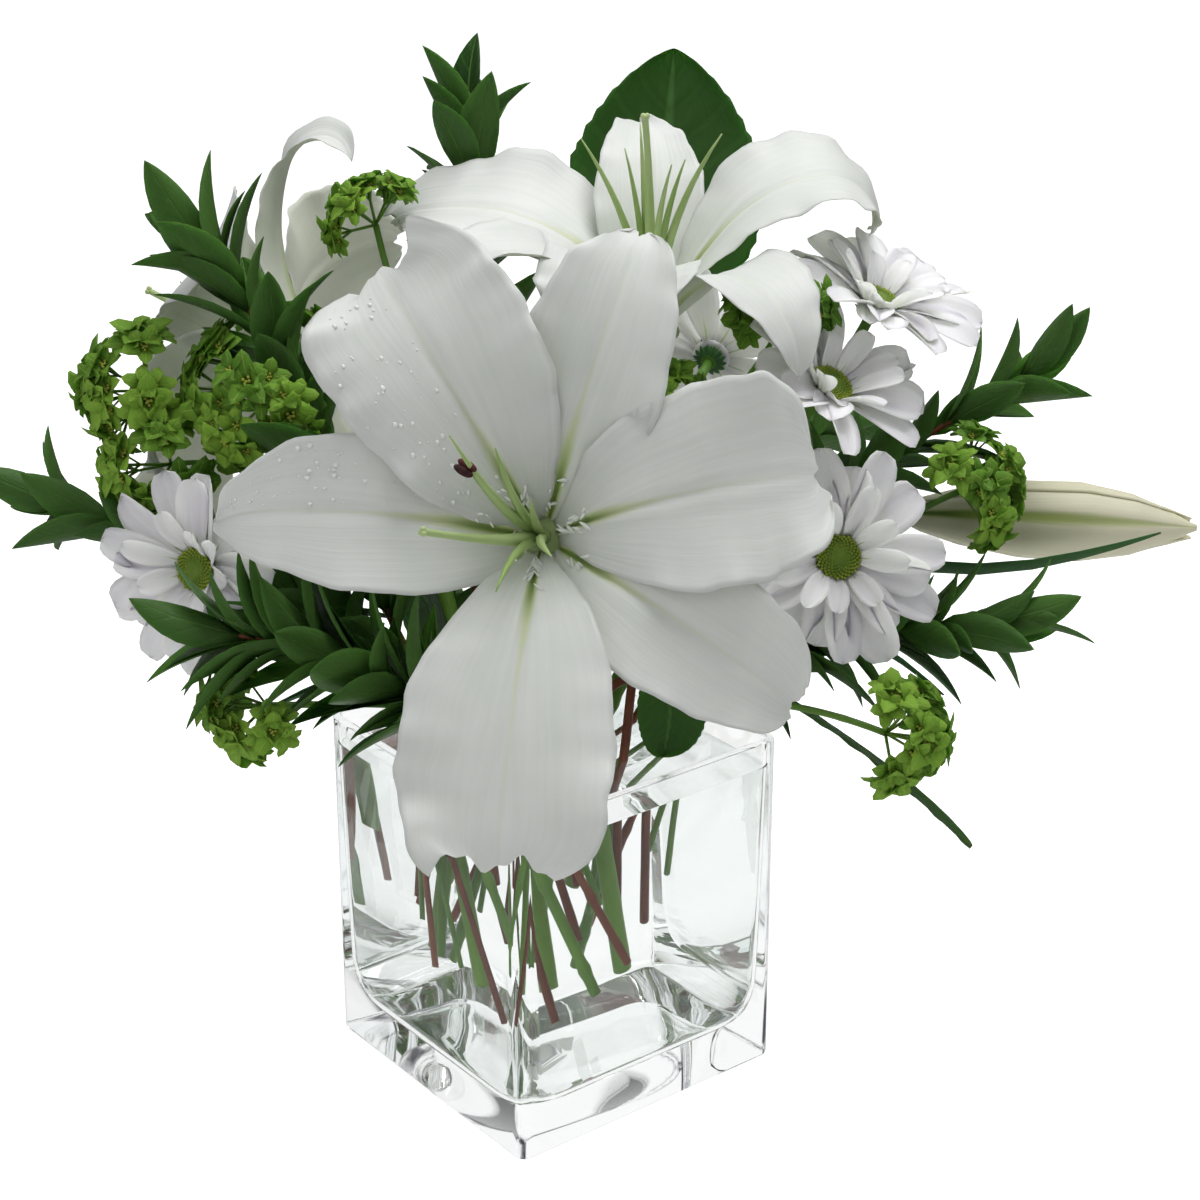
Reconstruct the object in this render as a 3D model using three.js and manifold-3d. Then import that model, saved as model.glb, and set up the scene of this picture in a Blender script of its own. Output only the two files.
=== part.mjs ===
// Lilies in a vase: a square clear-glass vase of water that holds white lilies, white daisies,
// yellow-green umbels and dark leafy sprays. Millimetres, +Z up, origin under the vase's middle.
import * as THREE from 'three';
import { mergeVertices } from 'three/addons/utils/BufferGeometryUtils.js';
import Module from 'manifold-3d';

const wasm = await Module();
wasm.setup();

// ---- driving dimensions -------------------------------------------------------------------
const VASE_SIDE = 115;
const VASE_HEIGHT = 130;
const WALL = 3.2; // at the rim; the wall thickens towards the floor
const FLOOR_THICKNESS = 15;
const CORNER_RADIUS = 5;
const WATER_LEVEL = 119;
const GAP = 0.3; // between pieces that touch
const HOLE_PLAY = 0.4; // round each stem in the water
const CLEARANCE = 0.35; // least distance between two plants' pieces
const MOUTH_LEVEL = 124; // stems are straight below this height
const STEM_TWIST = 75; // degrees that a stem turns round the vase's axis, mouth to floor
const STEM_TAPER = 1.18; // how far the bundle widens again on the way
const LOWEST_CUT = 18;
const FRONT_TURN = -38; // degrees: the bouquet faces this way
const FRONT_TILT = 23;
const LILY_STEM_RADIUS = 3.8;
const DAISY_STEM_RADIUS = 2.2;
const SPRAY_STEM_RADIUS = 1.4;
const BROAD_STEM_RADIUS = 1.8;

// ---- directions seen from the bouquet's front ---------------------------------------------
const rad = THREE.MathUtils.degToRad;
const UP = new THREE.Vector3(0, 0, 1);
const ACROSS = new THREE.Vector3(Math.cos(rad(FRONT_TURN)), Math.sin(rad(FRONT_TURN)), 0);
const TOWARD = new THREE.Vector3()
  .copy(ACROSS)
  .cross(UP)
  .multiplyScalar(Math.cos(rad(FRONT_TILT)))
  .addScaledVector(UP, Math.sin(rad(FRONT_TILT)));
const UPWARD = new THREE.Vector3().crossVectors(TOWARD, ACROSS);

/** A point or direction given as [across to the right, up, towards the viewer]. */
function front([across, up, toward]) {
  return new THREE.Vector3()
    .addScaledVector(ACROSS, across)
    .addScaledVector(UPWARD, up)
    .addScaledVector(TOWARD, toward);
}

/** A local frame: its place, its axis, the direction of turn 0 across it, and of turn 90. */
function frameOf(at, along, zero) {
  const start = zero.clone().addScaledVector(along, -zero.dot(along)).normalize();
  return { at, along, start, second: new THREE.Vector3().crossVectors(along, start) };
}

function frameAt(place, axis, zero) {
  return frameOf(front(place), front(axis).normalize(), front(zero));
}

function outward(frame, turn) {
  const way = new THREE.Vector3().addScaledVector(frame.start, Math.cos(rad(turn)));
  return way.addScaledVector(frame.second, Math.sin(rad(turn)));
}

/** The place this far behind a bloom, along its axis. */
function behind(at, axis, distance) {
  const unit = new THREE.Vector3(...axis).normalize();
  return at.map((value, i) => value - distance * unit.getComponent(i));
}

// ---- small tools --------------------------------------------------------------------------
let seed = 1;

function random() {
  seed = (seed * 1664525 + 1013904223) % 4294967296;
  return seed / 4294967296;
}

function spread(reach) {
  return (random() * 2 - 1) * reach;
}

/** A solid of a closed geometry, once its shared corners are one and flat triangles are gone. */
function shaped(geometry) {
  for (const name of ['normal', 'uv']) geometry.deleteAttribute(name);
  const welded = mergeVertices(geometry, 1e-4);
  const corners = welded.index.array;
  const kept = [];
  for (let i = 0; i < corners.length; i += 3) {
    const [a, b, c] = corners.slice(i, i + 3);
    if (a !== b && b !== c && c !== a) kept.push(a, b, c);
  }
  const vertProperties = new Float32Array(welded.attributes.position.array);
  return new wasm.Manifold(
    new wasm.Mesh({ numProp: 3, vertProperties, triVerts: new Uint32Array(kept) }),
  );
}

function joined(solids) {
  return solids.reduce((whole, solid) => whole.add(solid));
}

function cornersGeometry(points, triangles) {
  const geometry = new THREE.BufferGeometry();
  const flat = points.flatMap((point) => [point.x, point.y, point.z]);
  geometry.setAttribute('position', new THREE.Float32BufferAttribute(flat, 3));
  geometry.setIndex(triangles);
  return geometry;
}

/** A closed skin over rings of points, with a flat fan on the first and the last ring. */
function loft(rings) {
  const sides = rings[0].length;
  const triangles = [];
  for (let row = 0; row + 1 < rings.length; row++) {
    for (let side = 0; side < sides; side++) {
      const a = row * sides + side;
      const b = row * sides + ((side + 1) % sides);
      triangles.push(a, b, b + sides, a, b + sides, a + sides);
    }
  }
  const last = (rings.length - 1) * sides;
  for (let side = 1; side + 1 < sides; side++) {
    triangles.push(0, side + 1, side);
    triangles.push(last, last + side, last + side + 1);
  }
  return shaped(cornersGeometry(rings.flat(), triangles));
}

/** A round rod of constant radius along a curve. */
function rod(curve, radius, sides, steps) {
  const corners = [];
  for (let side = 0; side < sides; side++) {
    const angle = (side * 2 * Math.PI) / sides;
    corners.push(new THREE.Vector2(radius * Math.cos(angle), radius * Math.sin(angle)));
  }
  const settings = { steps, extrudePath: curve, bevelEnabled: false };
  return shaped(new THREE.ExtrudeGeometry(new THREE.Shape(corners), settings));
}

/** A turned piece round an axis: its profile is a list of [radius, distance along the axis]. */
function turned(frame, profile, sides) {
  const outline = profile.map(([radius, along]) => new THREE.Vector2(radius, along));
  const geometry = new THREE.LatheGeometry(outline, sides);
  const placing = new THREE.Matrix4().makeBasis(frame.second, frame.along, frame.start);
  geometry.applyMatrix4(placing.setPosition(frame.at));
  return shaped(geometry);
}

// ---- blades: petals, rays and leaves ------------------------------------------------------
/** Half the width of a blade of width 1 at s, widest at rise / (rise + fall). */
function outlineAt(s, rise, fall) {
  const widest = rise / (rise + fall);
  const peak = widest ** rise * (1 - widest) ** fall;
  return (0.5 * s ** rise * (1 - s) ** fall) / peak;
}

/** The angle at s of a spine whose angles are given at even steps. */
function angleAt(angles, s) {
  const place = Math.min(s * (angles.length - 1), angles.length - 1.0001);
  const step = Math.floor(place);
  return angles[step] + (angles[step + 1] - angles[step]) * (place - step);
}

const SPINE_STEPS = 24;

/** Places and directions along a blade's spine, which leaves its frame's axis by each angle. */
function spineOf(frame, blade) {
  const stations = [];
  const at = frame.at.clone();
  at.addScaledVector(frame.along, blade.lift ?? 0);
  at.addScaledVector(outward(frame, blade.turn), blade.root ?? 0);
  for (let step = 0; step <= SPINE_STEPS; step++) {
    const s = step / SPINE_STEPS;
    const out = outward(frame, blade.turn + (blade.swing ?? 0) * s * s);
    const angle = rad(angleAt(blade.angles, s));
    const along = new THREE.Vector3()
      .addScaledVector(frame.along, Math.cos(angle))
      .addScaledVector(out, Math.sin(angle));
    const face = new THREE.Vector3()
      .addScaledVector(frame.along, Math.sin(angle))
      .addScaledVector(out, -Math.cos(angle))
      .applyAxisAngle(along, rad((blade.twist ?? 0) * s));
    const side = new THREE.Vector3().crossVectors(along, face);
    stations.push({ at: at.clone(), along, face, side });
    at.addScaledVector(along, blade.length / SPINE_STEPS);
  }
  return stations;
}

/** A point of the blade's middle surface: s runs root to tip and x from edge to edge. */
function bladePoint(stations, blade, s, x) {
  const station = stations[Math.round(s * SPINE_STEPS)];
  const half = Math.max(blade.neck ?? 0, outlineAt(s, blade.rise, blade.fall) * blade.width);
  const reach = s >= 1 ? 0 : half;
  const bowl = blade.bowl * Math.abs(x) ** 1.5 * reach;
  const wave = (blade.ripple ?? 0) * s * Math.sin((blade.waves ?? 0) * 2 * Math.PI * s);
  return station.at
    .clone()
    .addScaledVector(station.side, x * reach)
    .addScaledVector(station.face, bowl + wave * x * Math.abs(x));
}

/** A closed blade with thin edges; rows are stations along it and columns even steps across. */
function bladeSolid(frame, blade, rows, columns, thickness) {
  const stations = spineOf(frame, blade);
  const tops = [];
  const unders = [];
  rows.forEach((row, i) => {
    for (let j = 0; j <= columns; j++) {
      const x = (2 * j) / columns - 1;
      const middle = bladePoint(stations, blade, row / SPINE_STEPS, x);
      const rim = i === 0 || i === rows.length - 1 || j === 0 || j === columns;
      const half = rim ? 0 : (thickness / 2) * (1 - 0.3 * x * x);
      tops.push(middle.clone().addScaledVector(stations[row].face, half));
      unders.push(middle.clone().addScaledVector(stations[row].face, -half));
    }
  });
  const triangles = [];
  const under = tops.length;
  for (let i = 0; i + 1 < rows.length; i++) {
    for (let j = 0; j < columns; j++) {
      const a = i * (columns + 1) + j;
      const b = a + 1;
      const c = a + columns + 1;
      const d = c + 1;
      const split = j < columns / 2 ? [a, b, d, a, d, c] : [a, b, c, b, d, c];
      triangles.push(...split);
      for (let k = 0; k < 6; k += 3) {
        triangles.push(under + split[k], under + split[k + 2], under + split[k + 1]);
      }
    }
  }
  return shaped(cornersGeometry([...tops, ...unders], triangles));
}

// ---- the nodes and the room that they take ------------------------------------------------
const bouquet = new THREE.Group();
const standing = [];

function areApart(box, other) {
  return [0, 1, 2].some((i) => {
    return box.min[i] - other.max[i] > CLEARANCE || other.min[i] - box.max[i] > CLEARANCE;
  });
}

function isClear(solid, owner) {
  const box = solid.boundingBox();
  return standing.every((other) => {
    if (other.owner === owner || areApart(box, other.box)) return true;
    return solid.minGap(other.solid, CLEARANCE) >= CLEARANCE;
  });
}

function stand(solid, owner) {
  standing.push({ solid, owner, box: solid.boundingBox() });
  return solid;
}

function isApart(solid, siblings) {
  return siblings.every((other) => solid.minGap(other, CLEARANCE) > 0);
}

/** The first of several bends clear of every other plant and, where one is, of its siblings. */
function clearBlade(owner, siblings, choices, rows, columns, thickness) {
  let spare = null;
  for (const [frame, blade] of choices) {
    const solid = bladeSolid(frame, blade, rows, columns, thickness);
    if (!isClear(solid, owner)) continue;
    if (isApart(solid, siblings)) return stand(solid, owner);
    spare ??= solid;
  }
  return spare && stand(spare, owner);
}

function addNode(name, solid, color, roughness, glassy = {}) {
  const mesh = solid.simplify(0.05).getMesh();
  const geometry = new THREE.BufferGeometry();
  geometry.setAttribute('position', new THREE.BufferAttribute(mesh.vertProperties, 3));
  geometry.setIndex(new THREE.BufferAttribute(mesh.triVerts, 1));
  const finish = { color, roughness, metalness: 0, ...glassy };
  const node = new THREE.Mesh(geometry, new THREE.MeshStandardMaterial(finish));
  node.name = name;
  bouquet.add(node);
}

/** Joins a plant's pieces; a scrap that the joining leaves loose is dropped. */
function addPlant(name, pieces, color, roughness) {
  const parts = joined(pieces.filter(Boolean)).decompose();
  parts.sort((a, b) => b.volume() - a.volume());
  addNode(name, parts[0], color, roughness);
}

// ---- colours ------------------------------------------------------------------------------
const GLASS_CLEAR = 0xe6ecec;
const WATER_CLEAR = 0xeaf2f4;
const PETAL_WHITE = 0xd9dad6;
const STAMEN_GREEN = 0x8fb267;
const ANTHER_RED = 0x4a1e1e;
const STEM_GREEN = 0x6f9a4f;
const BUD_WHITE = 0xdfe0c8;
const DISC_GREEN = 0x7f9a2c;
const LEAF_GREEN = 0x24421c;
const SPRAY_GREEN = 0x2f5a22;
const UMBEL_GREEN = 0x5f8f2c;

// ---- vase and water -----------------------------------------------------------------------
const CORNER_STEPS = 2;
const FOOT_BEVEL = 1.5;
const RIM_BEVEL = 0.7;

function roundedSquare(half, corner, z) {
  const ring = [];
  for (let quarter = 0; quarter < 4; quarter++) {
    const middle = new THREE.Vector3(1, 1, 0).multiplyScalar(half - corner);
    middle.applyAxisAngle(UP, rad(90 * quarter));
    for (let step = 0; step <= CORNER_STEPS; step++) {
      const angle = rad(90 * (quarter + step / CORNER_STEPS));
      const x = middle.x + corner * Math.cos(angle);
      ring.push(new THREE.Vector3(x, middle.y + corner * Math.sin(angle), z));
    }
  }
  return ring;
}

/** The vase's hollow, from its dished floor up: [wall added, corner radius, height]. */
const HOLLOW = [
  [15, 22, FLOOR_THICKNESS],
  [7, 14, FLOOR_THICKNESS + 1.6],
  [3.4, 9, FLOOR_THICKNESS + 6],
  [1.8, 6, FLOOR_THICKNESS + 16],
  [0, 4, VASE_HEIGHT + 5],
];

function hollowAt(z, inset) {
  const upper = HOLLOW.findIndex(([, , level]) => level >= z);
  const [lowWall, lowCorner, low] = HOLLOW[Math.max(upper - 1, 0)];
  const [highWall, highCorner, high] = HOLLOW[upper];
  const share = high > low ? (z - low) / (high - low) : 0;
  const wall = WALL + lowWall + (highWall - lowWall) * share + inset;
  return roundedSquare(VASE_SIDE / 2 - wall, lowCorner + (highCorner - lowCorner) * share, z);
}

function makeVase() {
  const half = VASE_SIDE / 2;
  const outside = loft([
    roundedSquare(half - FOOT_BEVEL, CORNER_RADIUS - FOOT_BEVEL, 0),
    roundedSquare(half, CORNER_RADIUS, FOOT_BEVEL),
    roundedSquare(half, CORNER_RADIUS, VASE_HEIGHT - RIM_BEVEL),
    roundedSquare(half - RIM_BEVEL, CORNER_RADIUS - RIM_BEVEL, VASE_HEIGHT),
  ]);
  const hollow = loft(HOLLOW.map(([, , level]) => hollowAt(level, 0)));
  const vase = stand(outside.subtract(hollow), 'vase');
  addNode('vase', vase, GLASS_CLEAR, 0.03, { transparent: true, opacity: 0.35 });
}

const stemsInWater = [];
const HOLE_SIDES = 4;

/** The water stands just off the glass, and each stem in it has a plain hole of its own. */
function makeWater() {
  const rings = HOLLOW.slice(0, -1).map(([, , level]) => {
    return hollowAt(level, GAP).map((point) => point.setZ(level + GAP));
  });
  rings.push(hollowAt(WATER_LEVEL, GAP));
  let water = loft(rings);
  for (const { foot, mouth, radius } of stemsInWater) {
    const way = new THREE.Vector3().subVectors(mouth, foot).normalize();
    const low = foot.clone().addScaledVector(way, -HOLE_PLAY);
    const wide = (radius + HOLE_PLAY) / Math.cos(Math.PI / HOLE_SIDES);
    water = water.subtract(rod(new THREE.LineCurve3(low, mouth), wide, HOLE_SIDES, 1));
  }
  const bodies = water.decompose().sort((a, b) => b.volume() - a.volume());
  addNode('water', bodies[0], WATER_CLEAR, 0.02, { transparent: true, opacity: 0.2 });
}

// ---- stems --------------------------------------------------------------------------------
/** Where a stem crosses the mouth: its distance from the vase's axis and its turn round it. */
function mouthPoint([distance, turn]) {
  const point = new THREE.Vector3(distance, 0, MOUTH_LEVEL);
  return point.applyAxisAngle(UP, rad(turn));
}

/** The same stem lower down: every stem of the bundle follows the one spiral rule. */
function bundlePoint(slot, level) {
  const mouth = mouthPoint(slot);
  const floor = mouth.clone().applyAxisAngle(UP, rad(STEM_TWIST)).multiplyScalar(STEM_TAPER);
  const share = (MOUTH_LEVEL - level) / (MOUTH_LEVEL - LOWEST_CUT);
  return mouth.lerp(floor, share).setZ(level);
}

/** The way of one stem above the mouth, up to its head. */
function upperWay(stem) {
  const foot = bundlePoint(stem.slot, stem.cut);
  const mouth = mouthPoint(stem.slot);
  const head = front(stem.head);
  const away = new THREE.Vector3().subVectors(mouth, foot).normalize();
  const arrive = front(stem.arrive).normalize();
  return new THREE.CubicBezierCurve3(
    mouth,
    mouth.clone().addScaledVector(away, stem.leave ?? 35),
    head.clone().addScaledVector(arrive, -(stem.reach ?? 35)),
    head,
  );
}

/** A whole stem: one straight step from its cut end to the mouth, then even steps of a curve. */
class StemCurve extends THREE.Curve {
  constructor(foot, upper, steps) {
    super();
    this.foot = foot;
    this.upper = upper;
    this.first = 1 / steps;
  }

  getPoint(t) {
    if (t <= this.first) return this.foot.clone().lerp(this.upper.v0, t / this.first);
    return this.upper.getPoint((t - this.first) / (1 - this.first));
  }

  getUtoTmapping(u) {
    return u;
  }
}

function stemRod(owner, stem, sides, steps) {
  const foot = bundlePoint(stem.slot, stem.cut);
  stemsInWater.push({ foot, mouth: mouthPoint(stem.slot), radius: stem.radius });
  const whole = new StemCurve(foot, upperWay(stem), steps);
  return stand(rod(whole, stem.radius, sides, steps), owner);
}

/** A side branch from a share of a stem's upper way to a head of its own. */
function branchWay(upper, share, head, arrive, reach) {
  const from = upper.getPoint(share);
  const to = front(head);
  return new THREE.CubicBezierCurve3(
    from,
    from.clone().addScaledVector(upper.getTangent(share), reach),
    to.clone().addScaledVector(front(arrive).normalize(), -reach),
    to,
  );
}

// ---- lilies -------------------------------------------------------------------------------
const TEPAL_ROWS = [0, 6, 12, 18, 22, 24];
const PETAL = { root: 5.5, lift: 0.5, neck: 4.6, rise: 0.95, fall: 0.55, bowl: 0.16, waves: 2.2 };
const SEPAL = { root: 5.6, lift: -2.2, neck: 4, rise: 0.75, fall: 0.95, bowl: 0.2, waves: 1.5 };
const TEPAL_THICKNESS = 1.3;
const PEDICEL_END = 4.3; // the receptacle's foot is GAP above it
const RECEPTACLE = [
  [0, -4],
  [4.6, -4],
  [8.4, 0],
  [7, 2.6],
  [0, 2.6],
];
const STAMEN_KNOB = [
  [0, 3],
  [3, 3],
  [3, 6.4],
  [0, 6.4],
];
const KNOB_TOP = 5;
const FILAMENT_RADIUS = 0.9;
const STYLE_RADIUS = 1.7;
const LONG_LEAF = { neck: 1.6, rise: 0.5, fall: 0.8, bowl: 0.3, width: 15, turn: 0 };
const LONG_LEAF_ROWS = [0, 4, 9, 14, 19, 24];

/** Places are [across, up, toward]; turns are round each lily's axis; angles lean from it. */
const LILIES = [
  {
    name: 'lily_front',
    at: [-2, 185, 112],
    axis: [-0.05, 0.08, 1],
    zero: [1, 0, 0],
    tepals: [
      { turn: 174, length: 126, width: 52, angles: [30, 62, 94, 160], swing: 12, outer: true },
      { turn: 327, length: 112, width: 50, angles: [30, 64, 94, 122], swing: -4, outer: true,
        rise: 0.7, fall: 0.55 },
      { turn: 70, length: 119, width: 50, angles: [30, 62, 90, 132], swing: 2, outer: true,
        fall: 0.75 },
      { turn: 121, length: 117, width: 70, angles: [24, 58, 92, 130], rise: 0.85, fall: 0.45, ripple: 3 },
      { turn: 264, length: 127, width: 70, angles: [24, 60, 84, 96], swing: 0, fall: 0.4, ripple: 3 },
      { turn: 13, length: 106, width: 68, angles: [24, 62, 92, 128], swing: -6, fall: 0.46, ripple: 3 },
    ],
    filaments: [
      { turn: 141, out: 25, up: 47 },
      { turn: 134, out: 35, up: 64 },
      { turn: 116, out: 25, up: 54 },
      { turn: 245, out: 25, up: 54 },
      { turn: 95, out: 8, up: 40 },
      { turn: 300, out: 13, up: 50 },
    ],
    style: { turn: 188, out: 33, up: 62 },
    stem: { slot: [14, 250], cut: 40, reach: 45, leave: 20 },
    leaves: [
      { share: 0.3, way: [-1, -0.1, 0.1], length: 105, angles: [50, 85, 100, 110] },
      { share: 0.5, way: [1, -0.3, -0.1], length: 150, angles: [60, 90, 120, 134], width: 12 },
    ],
  },
  {
    name: 'lily_back',
    at: [35, 265, 32],
    axis: [0.05, 0.9, 0.42],
    zero: [1, 0, 0],
    tepals: [
      { turn: 94, length: 101, width: 40, angles: [20, 32, 62, 110], swing: 0, outer: true },
      { turn: 208, length: 108, width: 48, angles: [30, 58, 90, 120], swing: 0, outer: true },
      { turn: 306, length: 104, width: 50, angles: [30, 54, 104, 180], swing: 6, outer: true },
      { turn: 16, length: 120, width: 52, angles: [24, 40, 84, 186], swing: 4, twist: 20 },
      { turn: 164, length: 112, width: 66, angles: [26, 62, 94, 114], twist: -26, ripple: 4,
        rise: 0.8, fall: 0.8 },
      { turn: 254, length: 90, width: 54, angles: [24, 50, 98, 150], swing: 0, ripple: 3 },
    ],
    filaments: [
      { turn: 175, out: 28, up: 66 },
      { turn: 150, out: 14, up: 62 },
      { turn: 120, out: 14, up: 70 },
      { turn: 20, out: 10, up: 60 },
      { turn: 8, out: 22, up: 70 },
      { turn: 290, out: 12, up: 62 },
    ],
    style: { turn: 190, out: 6, up: 76 },
    stem: { slot: [27, 66], cut: 42, reach: 35, leave: 35 },
    leaves: [
      { share: 0.35, way: [-0.3, 0.2, -1], length: 85, angles: [35, 60, 95, 120] },
      { share: 0.55, way: [0.3, 0.1, -1], length: 75, angles: [35, 60, 100, 120] },
    ],
  },
  {
    name: 'lily_left',
    at: [-90, 254, 4],
    axis: [-0.85, 0.32, -0.42],
    zero: [0, 1, 0],
    tepals: [
      { turn: 0, length: 112, width: 38, angles: [28, 58, 92, 236], swing: 0, twist: 45, outer: true },
      { turn: 118, length: 108, width: 46, angles: [30, 62, 96, 150], swing: 0, outer: true },
      { turn: 236, length: 100, width: 44, angles: [30, 64, 104, 165], swing: 0, outer: true },
      { turn: 58, length: 108, width: 64, angles: [24, 56, 92, 130], swing: 0, ripple: 4 },
      { turn: 178, length: 106, width: 62, angles: [24, 58, 92, 136], swing: 0, ripple: 4 },
      { turn: 298, length: 88, width: 58, angles: [24, 62, 108, 170], swing: 0, ripple: 3 },
    ],
    filaments: [
      { turn: 10, out: 16, up: 60 },
      { turn: 70, out: 20, up: 62 },
      { turn: 130, out: 18, up: 60 },
      { turn: 190, out: 20, up: 62 },
      { turn: 250, out: 16, up: 58 },
      { turn: 320, out: 16, up: 60 },
    ],
    style: { turn: 300, out: 10, up: 74 },
    stem: { slot: [27, 146], cut: 44, reach: 40, leave: 35 },
    leaves: [{ share: 0.35, way: [0.2, 0.1, -1], length: 90, angles: [35, 70, 100, 120] }],
  },
];

function lilyFrame(lily) {
  return frameAt(lily.at, lily.axis, lily.zero);
}

function fullLilyStem(lily) {
  const head = behind(lily.at, lily.axis, PEDICEL_END);
  return { ...lily.stem, radius: LILY_STEM_RADIUS, head, arrive: lily.axis };
}

/** Six tepals in two layers on one receptacle, which stands just off the stem's end. */
function makeLilyPetals(lily) {
  const name = `${lily.name}_petals`;
  const frame = lilyFrame(lily);
  const pieces = [stand(turned(frame, RECEPTACLE, 6), name)];
  for (const tepal of lily.tepals) {
    const blade = { ...(tepal.outer ? SEPAL : PETAL), ...tepal };
    const columns = tepal.outer ? 2 : 4;
    pieces.push(stand(bladeSolid(frame, blade, TEPAL_ROWS, columns, TEPAL_THICKNESS), name));
  }
  addPlant(name, pieces, PETAL_WHITE, 0.5);
}

/** A filament or the style: from the knob in the throat, bending out to its tip. */
function stamenWay(frame, { turn, out, up }) {
  const place = (share, height) => {
    const point = frame.at.clone().addScaledVector(frame.along, height);
    return point.addScaledVector(outward(frame, turn), share * out);
  };
  return new THREE.QuadraticBezierCurve3(place(0.07, KNOB_TOP), place(0.25, up * 0.6), place(1, up));
}

function makeStamens(lily) {
  const name = `${lily.name}_stamens`;
  const frame = lilyFrame(lily);
  const pieces = [turned(frame, STAMEN_KNOB, 6)];
  for (const filament of lily.filaments) {
    pieces.push(rod(stamenWay(frame, filament), FILAMENT_RADIUS, 3, 3));
  }
  pieces.push(rod(stamenWay(frame, lily.style), STYLE_RADIUS, 4, 3));
  for (const piece of pieces) stand(piece, name);
  addPlant(name, pieces, STAMEN_GREEN, 0.5);
}

/** The one anther left, across the tip of the front lily's first filament. */
const ANTHER = [
  [0, -5],
  [1.8, -3.4],
  [2.2, 0],
  [1.8, 3.4],
  [0, 5],
];
const ANTHER_STANDOFF = 2.5;

function makeAnther(lily) {
  const way = stamenWay(lilyFrame(lily), lily.filaments[0]);
  const along = way.getTangent(1);
  const at = way.v2.clone().addScaledVector(along, ANTHER_STANDOFF);
  const across = new THREE.Vector3().crossVectors(along, UP).normalize();
  const anther = turned(frameOf(at, across, along), ANTHER, 6);
  addPlant('lily_front_anther', [stand(anther, 'lily_front_anther')], ANTHER_RED, 0.85);
}

/** Long leaves like the lily's own, which spring from a share of the way up its stem. */
function longLeaf(owner, upper, leaf) {
  const along = upper.getTangent(leaf.share);
  const base = frameOf(upper.getPoint(leaf.share), along, front(leaf.way));
  const choices = [0, -15, 15, -30, 30, -50, 50].map((more) => {
    return [base, { ...LONG_LEAF, ...leaf, turn: more }];
  });
  return clearBlade(owner, [], choices, LONG_LEAF_ROWS, 2, 1.1);
}

function addLilyStem(owner, stem, stemSolid, leaves) {
  const upper = upperWay(stem);
  const blades = leaves.map((leaf) => longLeaf(owner, upper, leaf));
  addPlant(owner, [stemSolid, ...blades], STEM_GREEN, 0.55);
}

// ---- the unopened bud ---------------------------------------------------------------------
const BUD = {
  at: [127, 196, 20],
  tip: [240, 191, 0],
  radius: 17,
  way: [1, -0.04, -0.18],
  stem: { slot: [40, 22], cut: 58, reach: 50, leave: 35, radius: 3.4 },
  leaves: [
    { share: 0.97, way: [0, -1, 0.4], length: 50, angles: [30, 20, 2, -8], width: 10 },
    { share: 0.72, way: [0, -1, 0.3], length: 138, angles: [50, 32, 12, 2], width: 12 },
  ],
};
const BUD_SIDES = 12;
const BUD_FURROW = 0.12;
const BUD_ROWS = [
  [0, 0.2],
  [0.06, 0.42],
  [0.2, 0.72],
  [0.4, 0.96],
  [0.6, 1],
  [0.78, 0.78],
  [0.92, 0.4],
  [1, 0.12],
];

/** A long bud of three broad lobes, whose seams show as shallow furrows. */
function makeBud() {
  const from = front(BUD.at);
  const way = front(BUD.tip).sub(from);
  const frame = frameOf(from, way.clone().normalize(), UP);
  const rings = BUD_ROWS.map(([share, wide]) => {
    return Array.from({ length: BUD_SIDES }, (_, side) => {
      const furrow = side % 4 === 0 ? 1 - BUD_FURROW : 1;
      const out = outward(frame, (side * 360) / BUD_SIDES);
      const point = from.clone().addScaledVector(way, share);
      return point.addScaledVector(out, BUD.radius * wide * furrow);
    });
  });
  addPlant('lily_bud', [stand(loft(rings), 'lily_bud')], BUD_WHITE, 0.5);
}

function fullBudStem() {
  return { ...BUD.stem, head: behind(BUD.at, BUD.way, GAP), arrive: BUD.way };
}

// ---- daisies ------------------------------------------------------------------------------
const RAY_ROWS = [0, 10, 20, 24];
const RAY_THICKNESS = 1.2;
const RAY = { root: 5.6, rise: 0.6, fall: 0.35, neck: 1.6, bowl: 0.3 };
const RAY_LAYERS = [
  { count: 11, reach: 33, lean: 0, lift: -0.2, width: 12 },
  { count: 8, reach: 28, lean: -16, lift: 0.5, width: 11 },
];
const PUCK = [
  [0, -1.6],
  [5.5, -1.6],
  [8.4, 1.4],
  [0, 1.4],
];
const DISC = [
  [0, 1.7],
  [7.6, 1.7],
  [8.3, 3.4],
  [4.6, 5.6],
  [0, 4.8],
];
const CALYX = [
  [0, -6],
  [2.2, -6],
  [6.2, -1.9],
  [0, -1.9],
];
const CALYX_FOOT = 5;

const DAISIES = [
  { name: 'daisy_low_right', at: [99, 179, 80], axis: [0.08, -0.02, 1], open: 84 },
  { name: 'daisy_mid_right', at: [97, 238, 66], axis: [0.45, 0.6, 0.66], open: 76 },
  { name: 'daisy_top_right', at: [116, 270, 44], axis: [0.35, 0.78, 0.5], open: 78 },
  { name: 'daisy_left', at: [-121, 175, 76], axis: [-0.5, -0.15, 0.83], open: 78 },
  { name: 'daisy_back', at: [62, 262, -70], axis: [0.3, 0.6, -0.75], open: 80, fewer: 3 },
  { name: 'daisy_back_left', at: [-36, 214, -78], axis: [-0.35, 0.4, -0.85], open: 82, fewer: 3 },
];

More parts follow.
